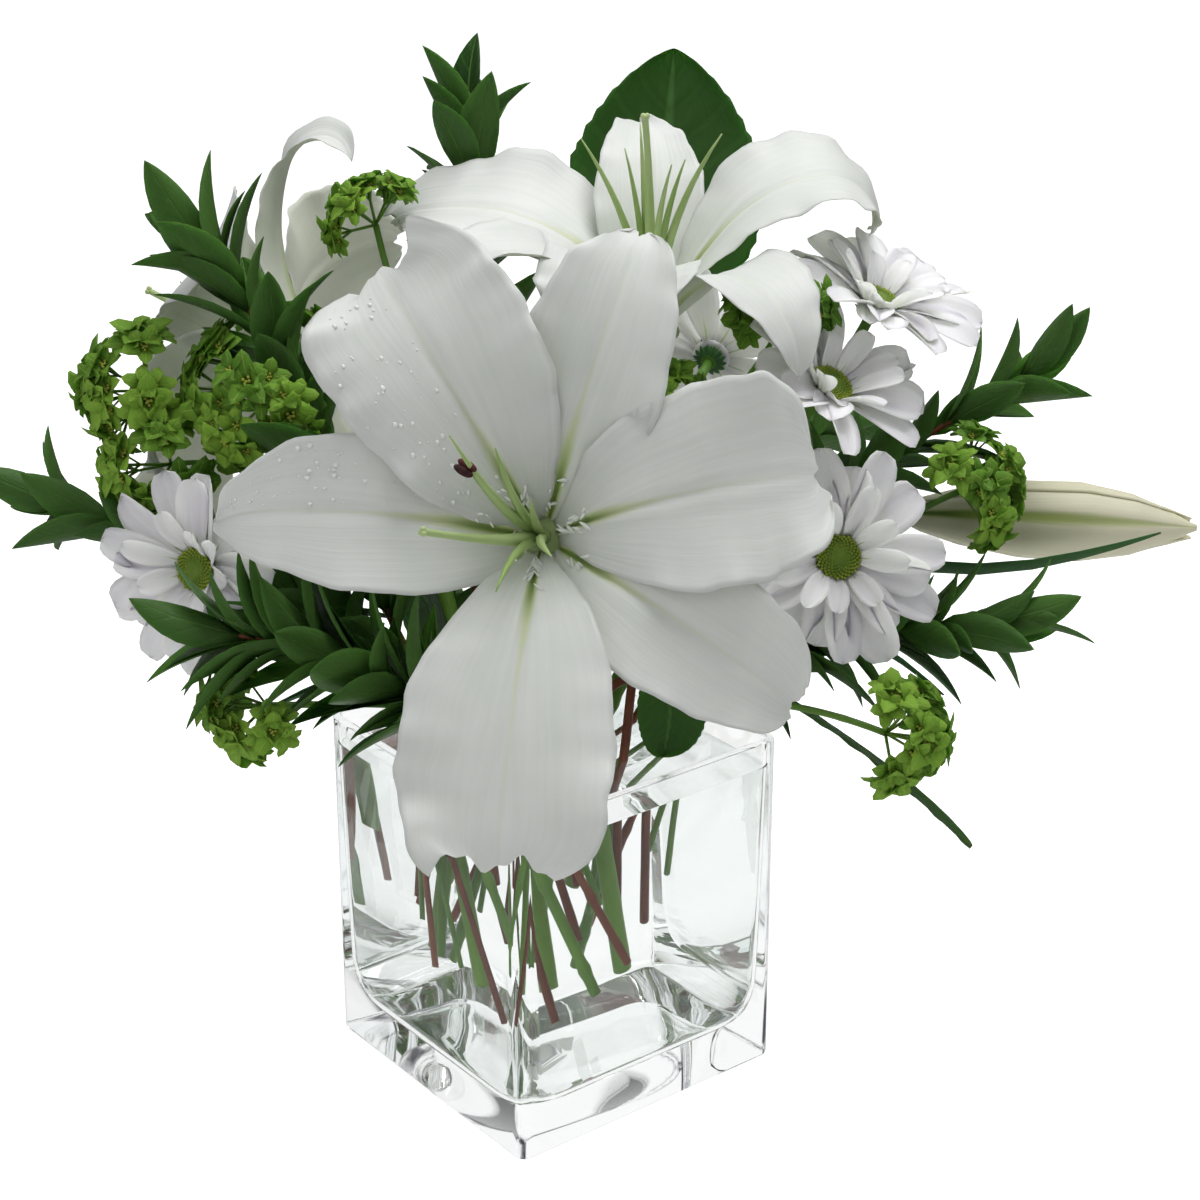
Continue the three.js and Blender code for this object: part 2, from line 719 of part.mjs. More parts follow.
/** Spray daisies: one stem carries one to three heads on branches of its own. */
const DAISY_STEMS = [
  {
    name: 'daisy_stem_right',
    heads: [{ daisy: 2 }, { daisy: 1, share: 0.6 }, { daisy: 0, share: 0.4 }],
    stem: { slot: [27, 6], cut: 30, leave: 40, reach: 30 },
  },
  {
    name: 'daisy_stem_left',
    heads: [{ daisy: 3 }],
    stem: { slot: [40, 188], cut: 46, leave: 25, reach: 55 },
  },
  {
    name: 'daisy_stem_back',
    heads: [{ daisy: 4 }, { daisy: 5, share: 0.45 }],
    stem: { slot: [27, 90], cut: 44, leave: 45, reach: 40 },
  },
];

function daisyFrame(daisy) {
  return frameAt(daisy.at, daisy.axis, [1, 0.2, 0]);
}

/** Two layers of blunt rays; the inner ones stand up a little more and are shorter. */
function makeDaisyRays(daisy, index) {
  const frame = daisyFrame(daisy);
  const pieces = [stand(turned(frame, PUCK, 6), daisy.name)];
  seed = 11 + index;
  for (const layer of RAY_LAYERS) {
    const count = layer.count - (daisy.fewer ?? 0);
    for (let ray = 0; ray < count; ray++) {
      const turn = ((ray + layer.lift) * 360) / count + spread(5);
      const open = daisy.open + layer.lean + spread(6);
      const length = layer.reach * (1 + spread(0.08));
      const width = layer.width + spread(1);
      const choices = [0, -14, 14, -28].map((more) => {
        const angles = [open - 14 + more / 2, open + more, open + 12 + more];
        return [frame, { ...RAY, lift: layer.lift, turn, length, width, angles }];
      });
      pieces.push(clearBlade(daisy.name, [], choices, RAY_ROWS, 2, RAY_THICKNESS));
    }
  }
  addPlant(daisy.name, pieces, PETAL_WHITE, 0.6);
}

function makeDaisyDisc(daisy) {
  const owner = `${daisy.name}_disc`;
  addPlant(owner, [stand(turned(daisyFrame(daisy), DISC, 8), owner)], DISC_GREEN, 0.8);
}

function makeDaisyStem({ name, heads, stem }) {
  const main = DAISIES[heads[0].daisy];
  const head = behind(main.at, main.axis, CALYX_FOOT);
  const whole = { ...stem, radius: DAISY_STEM_RADIUS, head, arrive: main.axis };
  const upper = upperWay(whole);
  const pieces = [stemRod(name, whole, 5, 8)];
  for (const { daisy: index, share } of heads) {
    const daisy = DAISIES[index];
    pieces.push(stand(turned(daisyFrame(daisy), CALYX, 6), name));
    if (share === undefined) continue;
    const tip = behind(daisy.at, daisy.axis, CALYX_FOOT);
    const branch = branchWay(upper, share, tip, daisy.axis, 28);
    pieces.push(stand(rod(branch, 1.7, 4, 5), name));
  }
  addPlant(name, pieces, STEM_GREEN, 0.6);
}

// ---- leafy sprays -------------------------------------------------------------------------
const LEAF_ROWS = [0, 8, 16, 24];
const SPRAY_LEAF = { neck: 0.9, rise: 0.75, fall: 0.95, bowl: 0.34 };
const LEAF_SHAPE = 0.37; // a leaf's width for its length
const LEAFY_SHARE = 0.62; // of the way above the mouth

const SPRAYS = [
  {
    name: 'spray_top',
    leaf: 52,
    count: 12,
    stem: { slot: [27, 126], cut: 84, head: [-32, 340, 0], arrive: [-0.1, 1, 0] },
  },
  {
    name: 'spray_upper_left',
    leaf: 50,
    count: 11,
    stem: { slot: [40, 160], cut: 38, head: [-118, 284, 74], arrive: [-0.7, 0.7, 0] },
  },
  {
    name: 'spray_left',
    leaf: 42,
    count: 11,
    stem: { slot: [27, 186], cut: 62, head: [-176, 198, 42], arrive: [-1, 0.35, -0.1], leave: 50 },
  },
  {
    name: 'spray_low_left',
    leaf: 46,
    count: 11,
    stem: { slot: [40, 214], cut: 54, head: [-104, 152, 104], arrive: [-1, 0.1, 0] },
  },
  {
    name: 'spray_right',
    leaf: 44,
    count: 9,
    stem: { slot: [27, 32], cut: 80, head: [172, 246, 34], arrive: [0.8, 0.5, 0] },
  },
  {
    name: 'spray_low_right',
    leaf: 42,
    count: 10,
    stem: { slot: [40, 0], cut: 40, head: [160, 156, 54], arrive: [1, 0.1, 0] },
  },
  {
    name: 'spray_back',
    leaf: 44,
    count: 10,
    stem: { slot: [40, 50], cut: 52, head: [110, 240, -90], arrive: [0.5, 0.5, -1] },
  },
  {
    name: 'spray_back_left',
    leaf: 44,
    count: 10,
    stem: { slot: [40, 112], cut: 46, head: [-80, 200, -104], arrive: [-1, 0.5, -1] },
  },
];
const LEAF_BENDS = [
  [0, 0],
  [35, 0],
  [-35, 0],
  [70, 0],
  [-70, 0],
  [0, 25],
  [110, 0],
  [-110, 0],
  [50, 25],
  [-50, 25],
  [180, 0],
];

function fullSprayStem(spray) {
  return { ...spray.stem, radius: SPRAY_STEM_RADIUS };
}

function sprayLeaf(owner, siblings, upper, share, turn, length, lean) {
  const along = upper.getTangent(share);
  const frame = frameOf(upper.getPoint(share), along, Math.abs(along.z) > 0.95 ? ACROSS : UP);
  const choices = LEAF_BENDS.map(([more, rise]) => {
    const angles = [lean + rise - 12, lean + rise, lean + rise + 14];
    const width = length * LEAF_SHAPE;
    return [frame, { ...SPRAY_LEAF, turn: turn + more, length, width, angles }];
  });
  return clearBlade(owner, siblings, choices, LEAF_ROWS, 2, 1);
}

/** Leaves go up a spray's stem by turns, larger below and closest together at its tip. */
function makeSpray(spray, index) {
  const upper = upperWay(fullSprayStem(spray));
  const leaves = [];
  seed = 21 + index;
  for (let i = 0; i < spray.count; i++) {
    const rank = i / (spray.count - 1);
    const share = 0.99 - LEAFY_SHARE * (1 - rank) ** 1.1;
    const turn = i * 137.5 + spread(15);
    const length = spray.leaf * (1.08 - 0.25 * rank + spread(0.1));
    const lean = 52 - 30 * rank + spread(8);
    const leaf = sprayLeaf(spray.name, leaves, upper, share, turn, length, lean);
    if (leaf) leaves.push(leaf);
  }
  addPlant(spray.name, [spray.rod, ...leaves], SPRAY_GREEN, 0.45);
}

// ---- umbels -------------------------------------------------------------------------------
const STAR_POINTS = 5;
const STAR_COVER = 1.5; // its stars' reach for a head's size and count
const STAR_NOTCH = 0.52;
const STAR_DISH = 0.3; // how far its points stand up, as a share of its reach
const RAY_RADIUS = 0.6;
const UMBEL_OPENING = 82; // degrees from the head's axis to its outermost ray
const HUB = [
  [0, -2.2],
  [2.2, 0],
  [0, 2.2],
];

const UMBELS = [
  {
    name: 'umbel_left',
    stem: { slot: [40, 138], cut: 52, head: [-98, 236, 62], arrive: [-0.3, 1, 0.3] },
    heads: [
      { axis: [0, 0.35, 0.8], count: 14, size: 28 },
      { share: 0.8, to: [-142, 238, 58], axis: [-0.6, 0.3, 0.6], count: 7, size: 20 },
      { share: 0.7, to: [-134, 212, 60], axis: [-0.5, -0.1, 0.6], count: 5, size: 18 },
    ],
  },
  {
    name: 'umbel_low_left',
    stem: { slot: [27, 216], cut: 74, head: [-97, 128, 86], arrive: [-1, 0, 0.2] },
    heads: [{ axis: [-0.6, 0, 0.5], count: 7, size: 18 }],
  },
  {
    name: 'umbel_top',
    stem: { slot: [14, 130], cut: 88, head: [-64, 300, 34], arrive: [-0.2, 1, 0.2] },
    heads: [{ axis: [-0.2, 0.8, 0.5], count: 7, size: 15 }],
  },
  {
    name: 'umbel_centre',
    stem: { slot: [14, 10], cut: 56, head: [40, 230, 80], arrive: [0.2, 1, 0.4] },
    heads: [
      { axis: [0.2, 0.6, 0.8], count: 5, size: 14 },
      { share: 0.6, to: [82, 264, 56], axis: [0.1, 0.7, 0.4], count: 6, size: 17 },
    ],
  },
  {
    name: 'umbel_right',
    stem: { slot: [40, -22], cut: 72, head: [146, 203, 46], arrive: [1, 0.4, 0.1] },
    heads: [{ axis: [0.8, 0.3, 0.5], count: 8, size: 18 }],
  },
  {
    name: 'umbel_low_right',
    stem: { slot: [40, -46], cut: 66, head: [116, 118, 76], arrive: [1, -0.4, 0.1] },
    heads: [{ axis: [0.9, -0.2, 0.4], count: 7, size: 19 }],
  },
  {
    name: 'umbel_back',
    stem: { slot: [40, 98], cut: 58, head: [10, 236, -84], arrive: [0, 0.9, -0.6] },
    heads: [{ axis: [0, 0.6, -0.8], count: 8, size: 20 }],
  },
];
const CORE_SHARE = 0.9; // of a head's size: within it the rays may meet
const BLOOM_BENDS = [
  [0, 0],
  [18, 0],
  [-18, 0],
  [0, -14],
  [0, 14],
  [36, 0],
  [-36, 0],
  [60, 10],
  [-60, 10],
  [120, -10],
];

function fullUmbelStem(umbel) {
  return { ...umbel.stem, radius: SPRAY_STEM_RADIUS };
}

/** One bloom: a three-sided ray from the hub that opens into a dished star of bracts. */
function bloomSolid(hub, way, length, reach) {
  const frame = frameOf(hub, way, new THREE.Vector3(0.31, 0.53, 0.79));
  const corners = 2 * STAR_POINTS;
  const place = (turn, out, up) => {
    const point = hub.clone().addScaledVector(way, up);
    return point.addScaledVector(outward(frame, turn), out);
  };
  const points = [];
  for (const up of [0.8, length - 1.5]) {
    for (const turn of [0, 120, 240]) points.push(place(turn, RAY_RADIUS, up));
  }
  for (let corner = 0; corner < corners; corner++) {
    const far = corner % 2 === 0 ? 1 : STAR_NOTCH;
    const lift = length + STAR_DISH * reach * far ** 2;
    points.push(place((corner * 360) / corners, reach * far, lift));
  }
  points.push(place(0, 0, length + 0.1 * reach));
  const triangles = [0, 2, 1];
  for (let side = 0; side < 3; side++) {
    const next = (side + 1) % 3;
    triangles.push(side, next, next + 3, side, next + 3, side + 3);
  }
  const nearest = (corner) => 3 + (Math.round((corner * 3) / corners) % 3);
  for (let corner = 0; corner < corners; corner++) {
    const next = (corner + 1) % corners;
    const here = nearest(corner);
    const there = nearest(next);
    triangles.push(here, 6 + next, 6 + corner, points.length - 1, 6 + corner, 6 + next);
    if (here !== there) triangles.push(here, there, 6 + next);
  }
  return shaped(cornersGeometry(points, triangles));
}

/** Thin rays spread from one hub over a dome, each with a star of bracts at its end. */
function umbelHead(owner, stars, at, head) {
  const frame = frameOf(at, front(head.axis).normalize(), new THREE.Vector3(0.4, 0.7, 0.2));
  const core = shaped(new THREE.OctahedronGeometry(CORE_SHARE * head.size).translate(...at));
  const blooms = [];
  for (let i = 0; i < head.count; i++) {
    const tilt = UMBEL_OPENING * Math.sqrt((i + 0.3) / head.count) + spread(4);
    const turn = i * 137.5 + spread(12);
    const length = head.size * (1 + spread(0.12));
    const reach = head.size * Math.sqrt(STAR_COVER / head.count) * (1 + spread(0.06));
    const choices = BLOOM_BENDS.map(([more, lean]) => {
      const way = frame.along.clone().multiplyScalar(Math.cos(rad(tilt + lean)));
      way.addScaledVector(outward(frame, turn + more), Math.sin(rad(tilt + lean)));
      return bloomSolid(at, way, length, reach);
    });
    const bloom = choices.find((solid) => isClear(solid, owner) && isApart(solid, stars));
    if (!bloom) continue;
    blooms.push(stand(bloom, owner));
    stars.push(bloom.subtract(core));
  }
  return [stand(turned(frame, HUB, 4), owner), ...blooms];
}

function umbelBranches(umbel) {
  const upper = upperWay(fullUmbelStem(umbel));
  const branches = umbel.heads.filter((head) => head.to);
  return branches.map(({ share, to, axis }) => {
    return stand(rod(branchWay(upper, share, to, axis, 14), 1, 3, 4), umbel.name);
  });
}

function makeUmbel(umbel, index) {
  seed = 31 + index;
  const pieces = [umbel.rod, ...umbel.branches];
  const stars = [];
  for (const head of umbel.heads) {
    pieces.push(...umbelHead(umbel.name, stars, front(head.to ?? umbel.stem.head), head));
  }
  addPlant(umbel.name, pieces, UMBEL_GREEN, 0.6);
}

// ---- broad leaves -------------------------------------------------------------------------
const BROAD_ROWS = [0, 4, 8, 12, 16, 20, 24];
const BROAD_LEAF = { neck: 1.2, rise: 0.5, fall: 0.55, bowl: 0.22 };

const BROAD = [
  {
    name: 'broad_leaf_top',
    stem: { slot: [40, 72], cut: 70, head: [40, 284, -74], arrive: [0.05, 1, 0.1], leave: 50 },
    leaves: [{ share: 0.99, way: [0, 0, -1], length: 104, width: 80, angles: [4, 6, -6], fall: 0.75 }],
  },
  {
    name: 'broad_leaf_low_right',
    stem: { slot: [14, 310], cut: 54, head: [66, 138, 50], arrive: [1, 0, 0.1] },
    leaves: [
      { share: 0.99, way: [0, -1, 0.25], length: 104, width: 13, angles: [25, 38, 46] },
      { share: 0.8, way: [0, 1, -0.4], length: 56, width: 40, angles: [60, 60, 40] },
    ],
  },
  {
    name: 'broad_leaf_low_left',
    stem: { slot: [14, 190], cut: 78, head: [-48, 144, 62], arrive: [-1, 0.4, 0.1] },
    leaves: [
      { share: 0.99, way: [0, 0, -1], length: 62, width: 40, angles: [10, 10, -5] },
      { share: 0.8, way: [0, 1, -0.3], length: 58, width: 40, angles: [50, 60, 40] },
    ],
  },
  {
    name: 'broad_leaf_front',
    stem: { slot: [27, 306], cut: 50, head: [40, 142, 82], arrive: [0.4, -0.2, 1] },
    leaves: [{ share: 0.99, way: [0, -1, 0], length: 34, width: 26, angles: [40, 90, 110] }],
  },
  {
    name: 'broad_leaf_back',
    stem: { slot: [40, 84], cut: 62, head: [40, 196, -96], arrive: [0.2, 0.6, -1] },
    leaves: [
      { share: 0.99, way: [0, -1, -0.2], length: 70, width: 50, angles: [20, 40, 60] },
      { share: 0.8, way: [1, 0, 0], length: 64, width: 46, angles: [60, 70, 60] },
    ],
  },
];

const BROAD_BENDS = [1, 0.8, 0.65].flatMap((size) => {
  return [0, -15, 15, -30, 30, -50, 50, -80, 80].map((turn) => [turn, size]);
});

function fullBroadStem(plant) {
  return { ...plant.stem, radius: BROAD_STEM_RADIUS };
}

function makeBroadLeaves(plant) {
  const upper = upperWay(fullBroadStem(plant));
  const blades = plant.leaves.map((leaf) => {
    const along = upper.getTangent(leaf.share);
    const frame = frameOf(upper.getPoint(leaf.share), along, front(leaf.way));
    const choices = BROAD_BENDS.map(([turn, size]) => {
      const [length, width] = [leaf.length * size, leaf.width * size];
      return [frame, { ...BROAD_LEAF, ...leaf, turn, length, width }];
    });
    return clearBlade(plant.name, [], choices, BROAD_ROWS, 2, 1.2);
  });
  addPlant(plant.name, [plant.rod, ...blades], LEAF_GREEN, 0.45);
}

// ---- the order of making: stems first, then blooms, then what is bent clear of them ---------
makeVase();
for (const lily of LILIES) lily.rod = stemRod(`${lily.name}_stem`, fullLilyStem(lily), 6, 8);
BUD.rod = stemRod('lily_bud_stem', fullBudStem(), 6, 8);
for (const group of DAISY_STEMS) makeDaisyStem(group);
for (const spray of SPRAYS) spray.rod = stemRod(spray.name, fullSprayStem(spray), 4, 6);
for (const umbel of UMBELS) {
  umbel.rod = stemRod(umbel.name, fullUmbelStem(umbel), 4, 6);
  umbel.branches = umbelBranches(umbel);
}
for (const plant of BROAD) plant.rod = stemRod(plant.name, fullBroadStem(plant), 4, 6);
for (const lily of LILIES) {
  makeLilyPetals(lily);
  makeStamens(lily);
}
makeAnther(LILIES[0]);
makeBud();
DAISIES.forEach((daisy, index) => {
  makeDaisyDisc(daisy);
  makeDaisyRays(daisy, index);
});
for (const lily of LILIES) {
  addLilyStem(`${lily.name}_stem`, fullLilyStem(lily), lily.rod, lily.leaves);
}
addLilyStem('lily_bud_stem', fullBudStem(), BUD.rod, BUD.leaves);
BROAD.forEach(makeBroadLeaves);
SPRAYS.forEach(makeSpray);
UMBELS.forEach(makeUmbel);
makeWater();

export default bouquet;
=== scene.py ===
# %% [markdown]
# # Lilies in a vase
#
# A low bouquet of white lilies, daisies, green umbels and dark leaves stands in a square vase
# of clear glass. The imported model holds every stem, bloom and leaf as a plain solid. It is the
# fixed frame here: each solid is replaced by a finer piece that keeps its place and its form.

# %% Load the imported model
import math

import bmesh
import bpy
import numpy as np
from mathutils import Matrix, Vector
from mathutils.bvhtree import BVHTree


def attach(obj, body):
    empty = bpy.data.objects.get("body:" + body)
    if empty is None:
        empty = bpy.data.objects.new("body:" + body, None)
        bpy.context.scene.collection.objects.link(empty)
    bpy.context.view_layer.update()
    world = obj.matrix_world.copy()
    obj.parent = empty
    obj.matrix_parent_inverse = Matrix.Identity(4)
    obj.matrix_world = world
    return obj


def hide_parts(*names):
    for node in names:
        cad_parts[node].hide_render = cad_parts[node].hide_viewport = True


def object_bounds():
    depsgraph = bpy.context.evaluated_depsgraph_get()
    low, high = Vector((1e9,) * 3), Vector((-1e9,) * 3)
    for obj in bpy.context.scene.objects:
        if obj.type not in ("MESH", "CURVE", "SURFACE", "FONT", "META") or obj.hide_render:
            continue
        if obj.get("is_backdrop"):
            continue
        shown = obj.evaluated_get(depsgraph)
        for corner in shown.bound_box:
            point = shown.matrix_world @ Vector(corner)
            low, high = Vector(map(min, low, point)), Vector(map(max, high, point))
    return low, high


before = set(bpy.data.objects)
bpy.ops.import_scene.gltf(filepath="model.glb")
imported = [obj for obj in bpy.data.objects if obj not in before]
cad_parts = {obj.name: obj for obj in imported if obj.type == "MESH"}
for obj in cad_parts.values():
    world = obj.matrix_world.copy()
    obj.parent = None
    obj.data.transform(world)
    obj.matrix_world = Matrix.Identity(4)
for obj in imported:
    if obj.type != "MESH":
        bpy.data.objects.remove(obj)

MM = 0.001
VASE_SIDE = 115.0
cad_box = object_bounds()
print("solids in the frame:", len(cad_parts))

# %% [markdown]
# ## Directions as the bouquet is looked at
#
# Every place is given as it is seen from the front: so many millimetres across to the right,
# up, and towards the viewer. The same three directions carry the camera, so a bloom that is
# right in the picture is right in the model. A seat is a place with an axis, such as a lily's
# throat, and turns round that axis are in degrees.

# %% Directions and seats
FRONT_TURN = math.radians(-38)
FRONT_TILT = math.radians(23)
UP = np.array((0.0, 0.0, 1.0))
ACROSS = np.array((math.cos(FRONT_TURN), math.sin(FRONT_TURN), 0.0))
TOWARD = np.cross(ACROSS, UP) * math.cos(FRONT_TILT) + UP * math.sin(FRONT_TILT)
UPWARD = np.cross(TOWARD, ACROSS)


def unit(way):
    return way / np.linalg.norm(way)


def front(place):
    """A place or a way, from (across, up, towards the viewer) to the model's x, y and z."""
    return place[0] * ACROSS + place[1] * UPWARD + place[2] * TOWARD


def seat_at(at, along, zero):
    """A seat: its place, its axis, and the two cross directions that turns start from."""
    start = unit(zero - along * np.dot(zero, along))
    return {"at": at, "along": along, "start": start, "second": np.cross(along, start)}


def front_seat(place, axis, zero):
    return seat_at(front(place), unit(front(axis)), front(zero))


def outward(seat, turn):
    """The way out from the seat's axis at one turn, or at each of many."""
    angle = np.radians(turn)
    if np.ndim(angle):
        angle = angle[:, None]
    return np.cos(angle) * seat["start"] + np.sin(angle) * seat["second"]


def behind(place, axis, distance):
    return np.array(place) - distance * unit(np.array(axis, float))


print("towards the viewer:", TOWARD.round(3), "up in the picture:", UPWARD.round(3))

# %% [markdown]
# ## The same chance as in the solids
#
# Leaves and rays are scattered a little by a small random sequence. It is the one that the
# solids were made with, so each leaf here finds its own solid again.

# %% A repeatable draw
class Draw:
    """Numbers that follow from one seed, and are the same on every run."""

    def __init__(self, seed):
        self.seed = seed

    def number(self):
        self.seed = (self.seed * 1664525 + 1013904223) % 4294967296
        return self.seed / 4294967296

    def spread(self, reach):
        return (self.number() * 2 - 1) * reach


print("first numbers of seed 11:", [round(Draw(11).number(), 3), round(Draw(11).spread(5), 3)])

# %% [markdown]
# ## Shapes that are modelled once
#
# A bouquet has hundreds of blades: petals, rays, leaves and bracts. Each kind starts as a flat
# strip, modelled once from a grid that is pulled to length and extruded to a thin slab. Its
# copies are then laid along curved spines. Blender's Curve modifier could bend them too, but
# it can't widen, cup and ruffle a strip on the way, so the copies' points are placed in code.

# %% Begin with nothing selected
def begin():
    """Leaves nothing selected and nothing in edit mode."""
    if bpy.context.object and bpy.context.object.mode != "OBJECT":
        bpy.ops.object.mode_set(mode="OBJECT")
    bpy.ops.object.select_all(action="DESELECT")


print("selected after loading:", len(bpy.context.selected_objects))
begin()
print("selected now:", len(bpy.context.selected_objects))


# %% A shape as arrays
class Shape:
    """A modelled shape as arrays, ready to be copied; the object that it came from is removed."""

    def __init__(self, thing):
        mesh = thing.data
        self.points = np.array([v.co for v in mesh.vertices])
        self.corners = np.array([loop.vertex_index for loop in mesh.loops])
        self.sizes = np.array([len(face.vertices) for face in mesh.polygons])
        self.uvs = np.array([item.uv for item in mesh.uv_layers.active.data])
        bpy.data.objects.remove(thing)
        bpy.data.meshes.remove(mesh)


# %% Strips, rods and balls to copy
def close_up():
    """Turns all faces of the shape in edit mode outwards, and takes it out as arrays."""
    bpy.ops.mesh.select_all(action="SELECT")
    bpy.ops.mesh.normals_make_consistent(inside=False)
    bpy.ops.object.mode_set(mode="OBJECT")
    return Shape(bpy.context.object)


def model_strip(columns, rows):
    """A slab: x is -1 to 1 across, y is 0 to 1 along, z is -1 to 0 through, and v runs along."""
    begin()
    bpy.ops.mesh.primitive_grid_add(x_subdivisions=columns, y_subdivisions=rows, size=2)
    bpy.ops.object.mode_set(mode="EDIT")
    bpy.ops.transform.translate(value=(0, 1, 0))
    bpy.ops.transform.resize(value=(1, 0.5, 1), center_override=(0, 0, 0))
    bpy.ops.mesh.extrude_region_move(TRANSFORM_OT_translate={"value": (0, 0, -1)})
    return close_up()


def model_rod(sides, rows):
    """A closed rod: a circle, extruded upwards row by row from z 0 to 1, and filled."""
    begin()
    bpy.ops.mesh.primitive_circle_add(vertices=sides, radius=1, fill_type="NGON")
    bpy.ops.object.mode_set(mode="EDIT")
    for _ in range(rows):
        bpy.ops.mesh.extrude_region_move(TRANSFORM_OT_translate={"value": (0, 0, 1 / rows)})
    return close_up()


def model_ball(subdivisions):
    begin()
    bpy.ops.mesh.primitive_ico_sphere_add(subdivisions=subdivisions, radius=1)
    return Shape(bpy.context.object)


PETAL_STRIP = model_strip(26, 46)
RAY_STRIP = model_strip(6, 9)
LEAF_STRIP = model_strip(4, 8)
BROAD_STRIP = model_strip(30, 44)
BRACT_STRIP = model_strip(2, 3)
STEM_ROD = model_rod(12, 60)
THIN_ROD = model_rod(6, 10)
HAIR_ROD = model_rod(4, 2)
PITH_ROD = model_rod(16, 1)
TWIG_ROD = model_rod(4, 3)
SMALL_BALL = model_ball(1)
ROUND_BALL = model_ball(3)
print("faces of a petal strip:", len(PETAL_STRIP.sizes))


# %% [markdown]
# ## Gathering copies into one piece
#
# All the copies of one flower or spray become one mesh. Joining hundreds of objects would do
# the same slowly, so their arrays are put end to end. Each copy carries its own shade, a
# number that its material reads to make no two leaves alike, and "under", which is 1 on the
# lower face, where a leaf is paler.

# %% Piles of copies
class Pile:
    """Copies of shapes, in millimetres, that will be one mesh."""

    def __init__(self):
        self.shapes = []
        self.points = []
        self.shades = []
        self.unders = []
        self.materials = []

    def add(self, shape, points, shade=0.0, under=None, material=0):
        self.shapes.append(shape)
        self.points.append(points)
        self.shades.append(np.full(len(points), shade))
        self.unders.append(np.zeros(len(points)) if under is None else under)
        self.materials.append(np.full(len(shape.sizes), material))

    def fill(self, mesh):
        """Gives the mesh the points, faces, UV map and point values of all copies."""
        points = np.clip(np.concatenate(self.points) * MM, *np.array(cad_box))
        starts = np.cumsum([0] + [len(part) for part in self.points])
        corners = np.concatenate([s.corners + start for s, start in zip(self.shapes, starts)])
        sizes = np.concatenate([shape.sizes for shape in self.shapes])
        mesh.vertices.add(len(points))
        mesh.vertices.foreach_set("co", points.ravel())
        mesh.loops.add(len(corners))
        mesh.loops.foreach_set("vertex_index", corners)
        mesh.polygons.add(len(sizes))
        mesh.polygons.foreach_set("loop_start", np.concatenate(([0], np.cumsum(sizes)[:-1])))
        mesh.polygons.foreach_set("material_index", np.concatenate(self.materials))
        uvs = np.concatenate([shape.uvs for shape in self.shapes])
        mesh.uv_layers.new(name="along").data.foreach_set("uv", uvs.ravel())
        for title, values in (("shade", self.shades), ("under", self.unders)):
            layer = mesh.attributes.new(title, "FLOAT", "POINT")
            layer.data.foreach_set("value", np.concatenate(values))

    def make(self, name, materials):
        mesh = bpy.data.meshes.new(name)
        self.fill(mesh)
        mesh.update(calc_edges=True)
        mesh.validate()
        for material in materials:
            mesh.materials.append(material)
        thing = bpy.data.objects.new(name, mesh)
        bpy.context.scene.collection.objects.link(thing)
        begin()
        thing.select_set(True)
        bpy.context.view_layer.objects.active = thing
        bpy.ops.object.shade_smooth()
        return thing


print("faces of the ball that repeats most:", len(SMALL_BALL.sizes))


# %% Hand a piece over
def volume_of(thing):
    """Millilitres that a closed form holds."""
    form = bmesh.new()
    form.from_mesh(thing.data)
    volume = form.calc_volume() / 1e-6
    form.free()
    return round(volume, 1)


def finish_piece(thing, node):
    """Puts a piece in the frame, in place of the solid that it stands for."""
    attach(thing, "root")
    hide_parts(node)
    print(f"{thing.name}: {len(thing.data.polygons)} faces")


# %% [markdown]
# ## Blades along a spine
#
# A blade leaves its seat's axis by an angle that changes on the way: a lily's petal stands up
# from the throat, opens, and rolls back at its tip. Here x runs from edge to edge, -1 to 1, and
# s from the root to the tip, 0 to 1.

# %% A blade's spine
SPINE_STEPS = 96
CURL_FROM = 0.84  # of the way to the tip


def turned_about(vectors, axes, angles):
    """Each vector turned about its own axis, to which it is square."""
    angles = angles[:, None]
    return vectors * np.cos(angles) + np.cross(axes, vectors) * np.sin(angles)


def spine_of(seat, blade):
    """The places along a blade's middle, the ways its upper face looks, and its side ways."""
    s = np.linspace(0, 1, SPINE_STEPS + 1)
    out = outward(seat, blade["turn"] + blade.get("swing", 0) * s * s)
    angles = blade["angles"]
    lean = np.interp(s, np.linspace(0, 1, len(angles)), angles)
    curled = np.maximum(0, (s - CURL_FROM) / (1 - CURL_FROM)) ** 2
    lean = np.radians(lean + blade.get("curl", 0) * curled)[:, None]
    along = np.cos(lean) * seat["along"] + np.sin(lean) * out
    face = np.sin(lean) * seat["along"] - np.cos(lean) * out
    face = turned_about(face, along, np.radians(blade.get("twist", 0)) * s)
    side = np.cross(along, face)
    root = seat["at"] + blade.get("lift", 0) * seat["along"]
    root = root + blade.get("root", 0) * outward(seat, blade["turn"])
    steps = (along[1:] + along[:-1]) / 2 * blade["length"] / SPINE_STEPS
    at = root + np.concatenate((np.zeros((1, 3)), np.cumsum(steps, axis=0)))
    return at, face, side


def read_at(values, s):
    grid = np.linspace(0, 1, SPINE_STEPS + 1)
    return np.stack([np.interp(s, grid, values[:, i]) for i in range(3)], axis=1)


print("places on a spine:", SPINE_STEPS + 1, "- curled from place", round(SPINE_STEPS * CURL_FROM))


# %% [markdown]
# The width follows a smooth outline, the bowl cups the blade, and a ripple lifts its two edges
# by turns. What only some blades have, such as a groove, a toothed edge or a ragged tip, is a
# function of x and s that the blade brings along. A slab that kept its thickness would end in
# a step, so it thins out towards the edges and the tip.

# %% Lay a strip along its spine
THINNING = 0.75  # of the thickness, at the edges and the tip


def outline_at(s, rise, fall):
    """Half the width along the way, 0.5 at its widest: it rises, then falls, by two powers."""
    widest = rise / (rise + fall)
    peak = widest**rise * (1 - widest) ** fall
    return 0.5 * s**rise * np.maximum(1 - s, 0) ** fall / peak


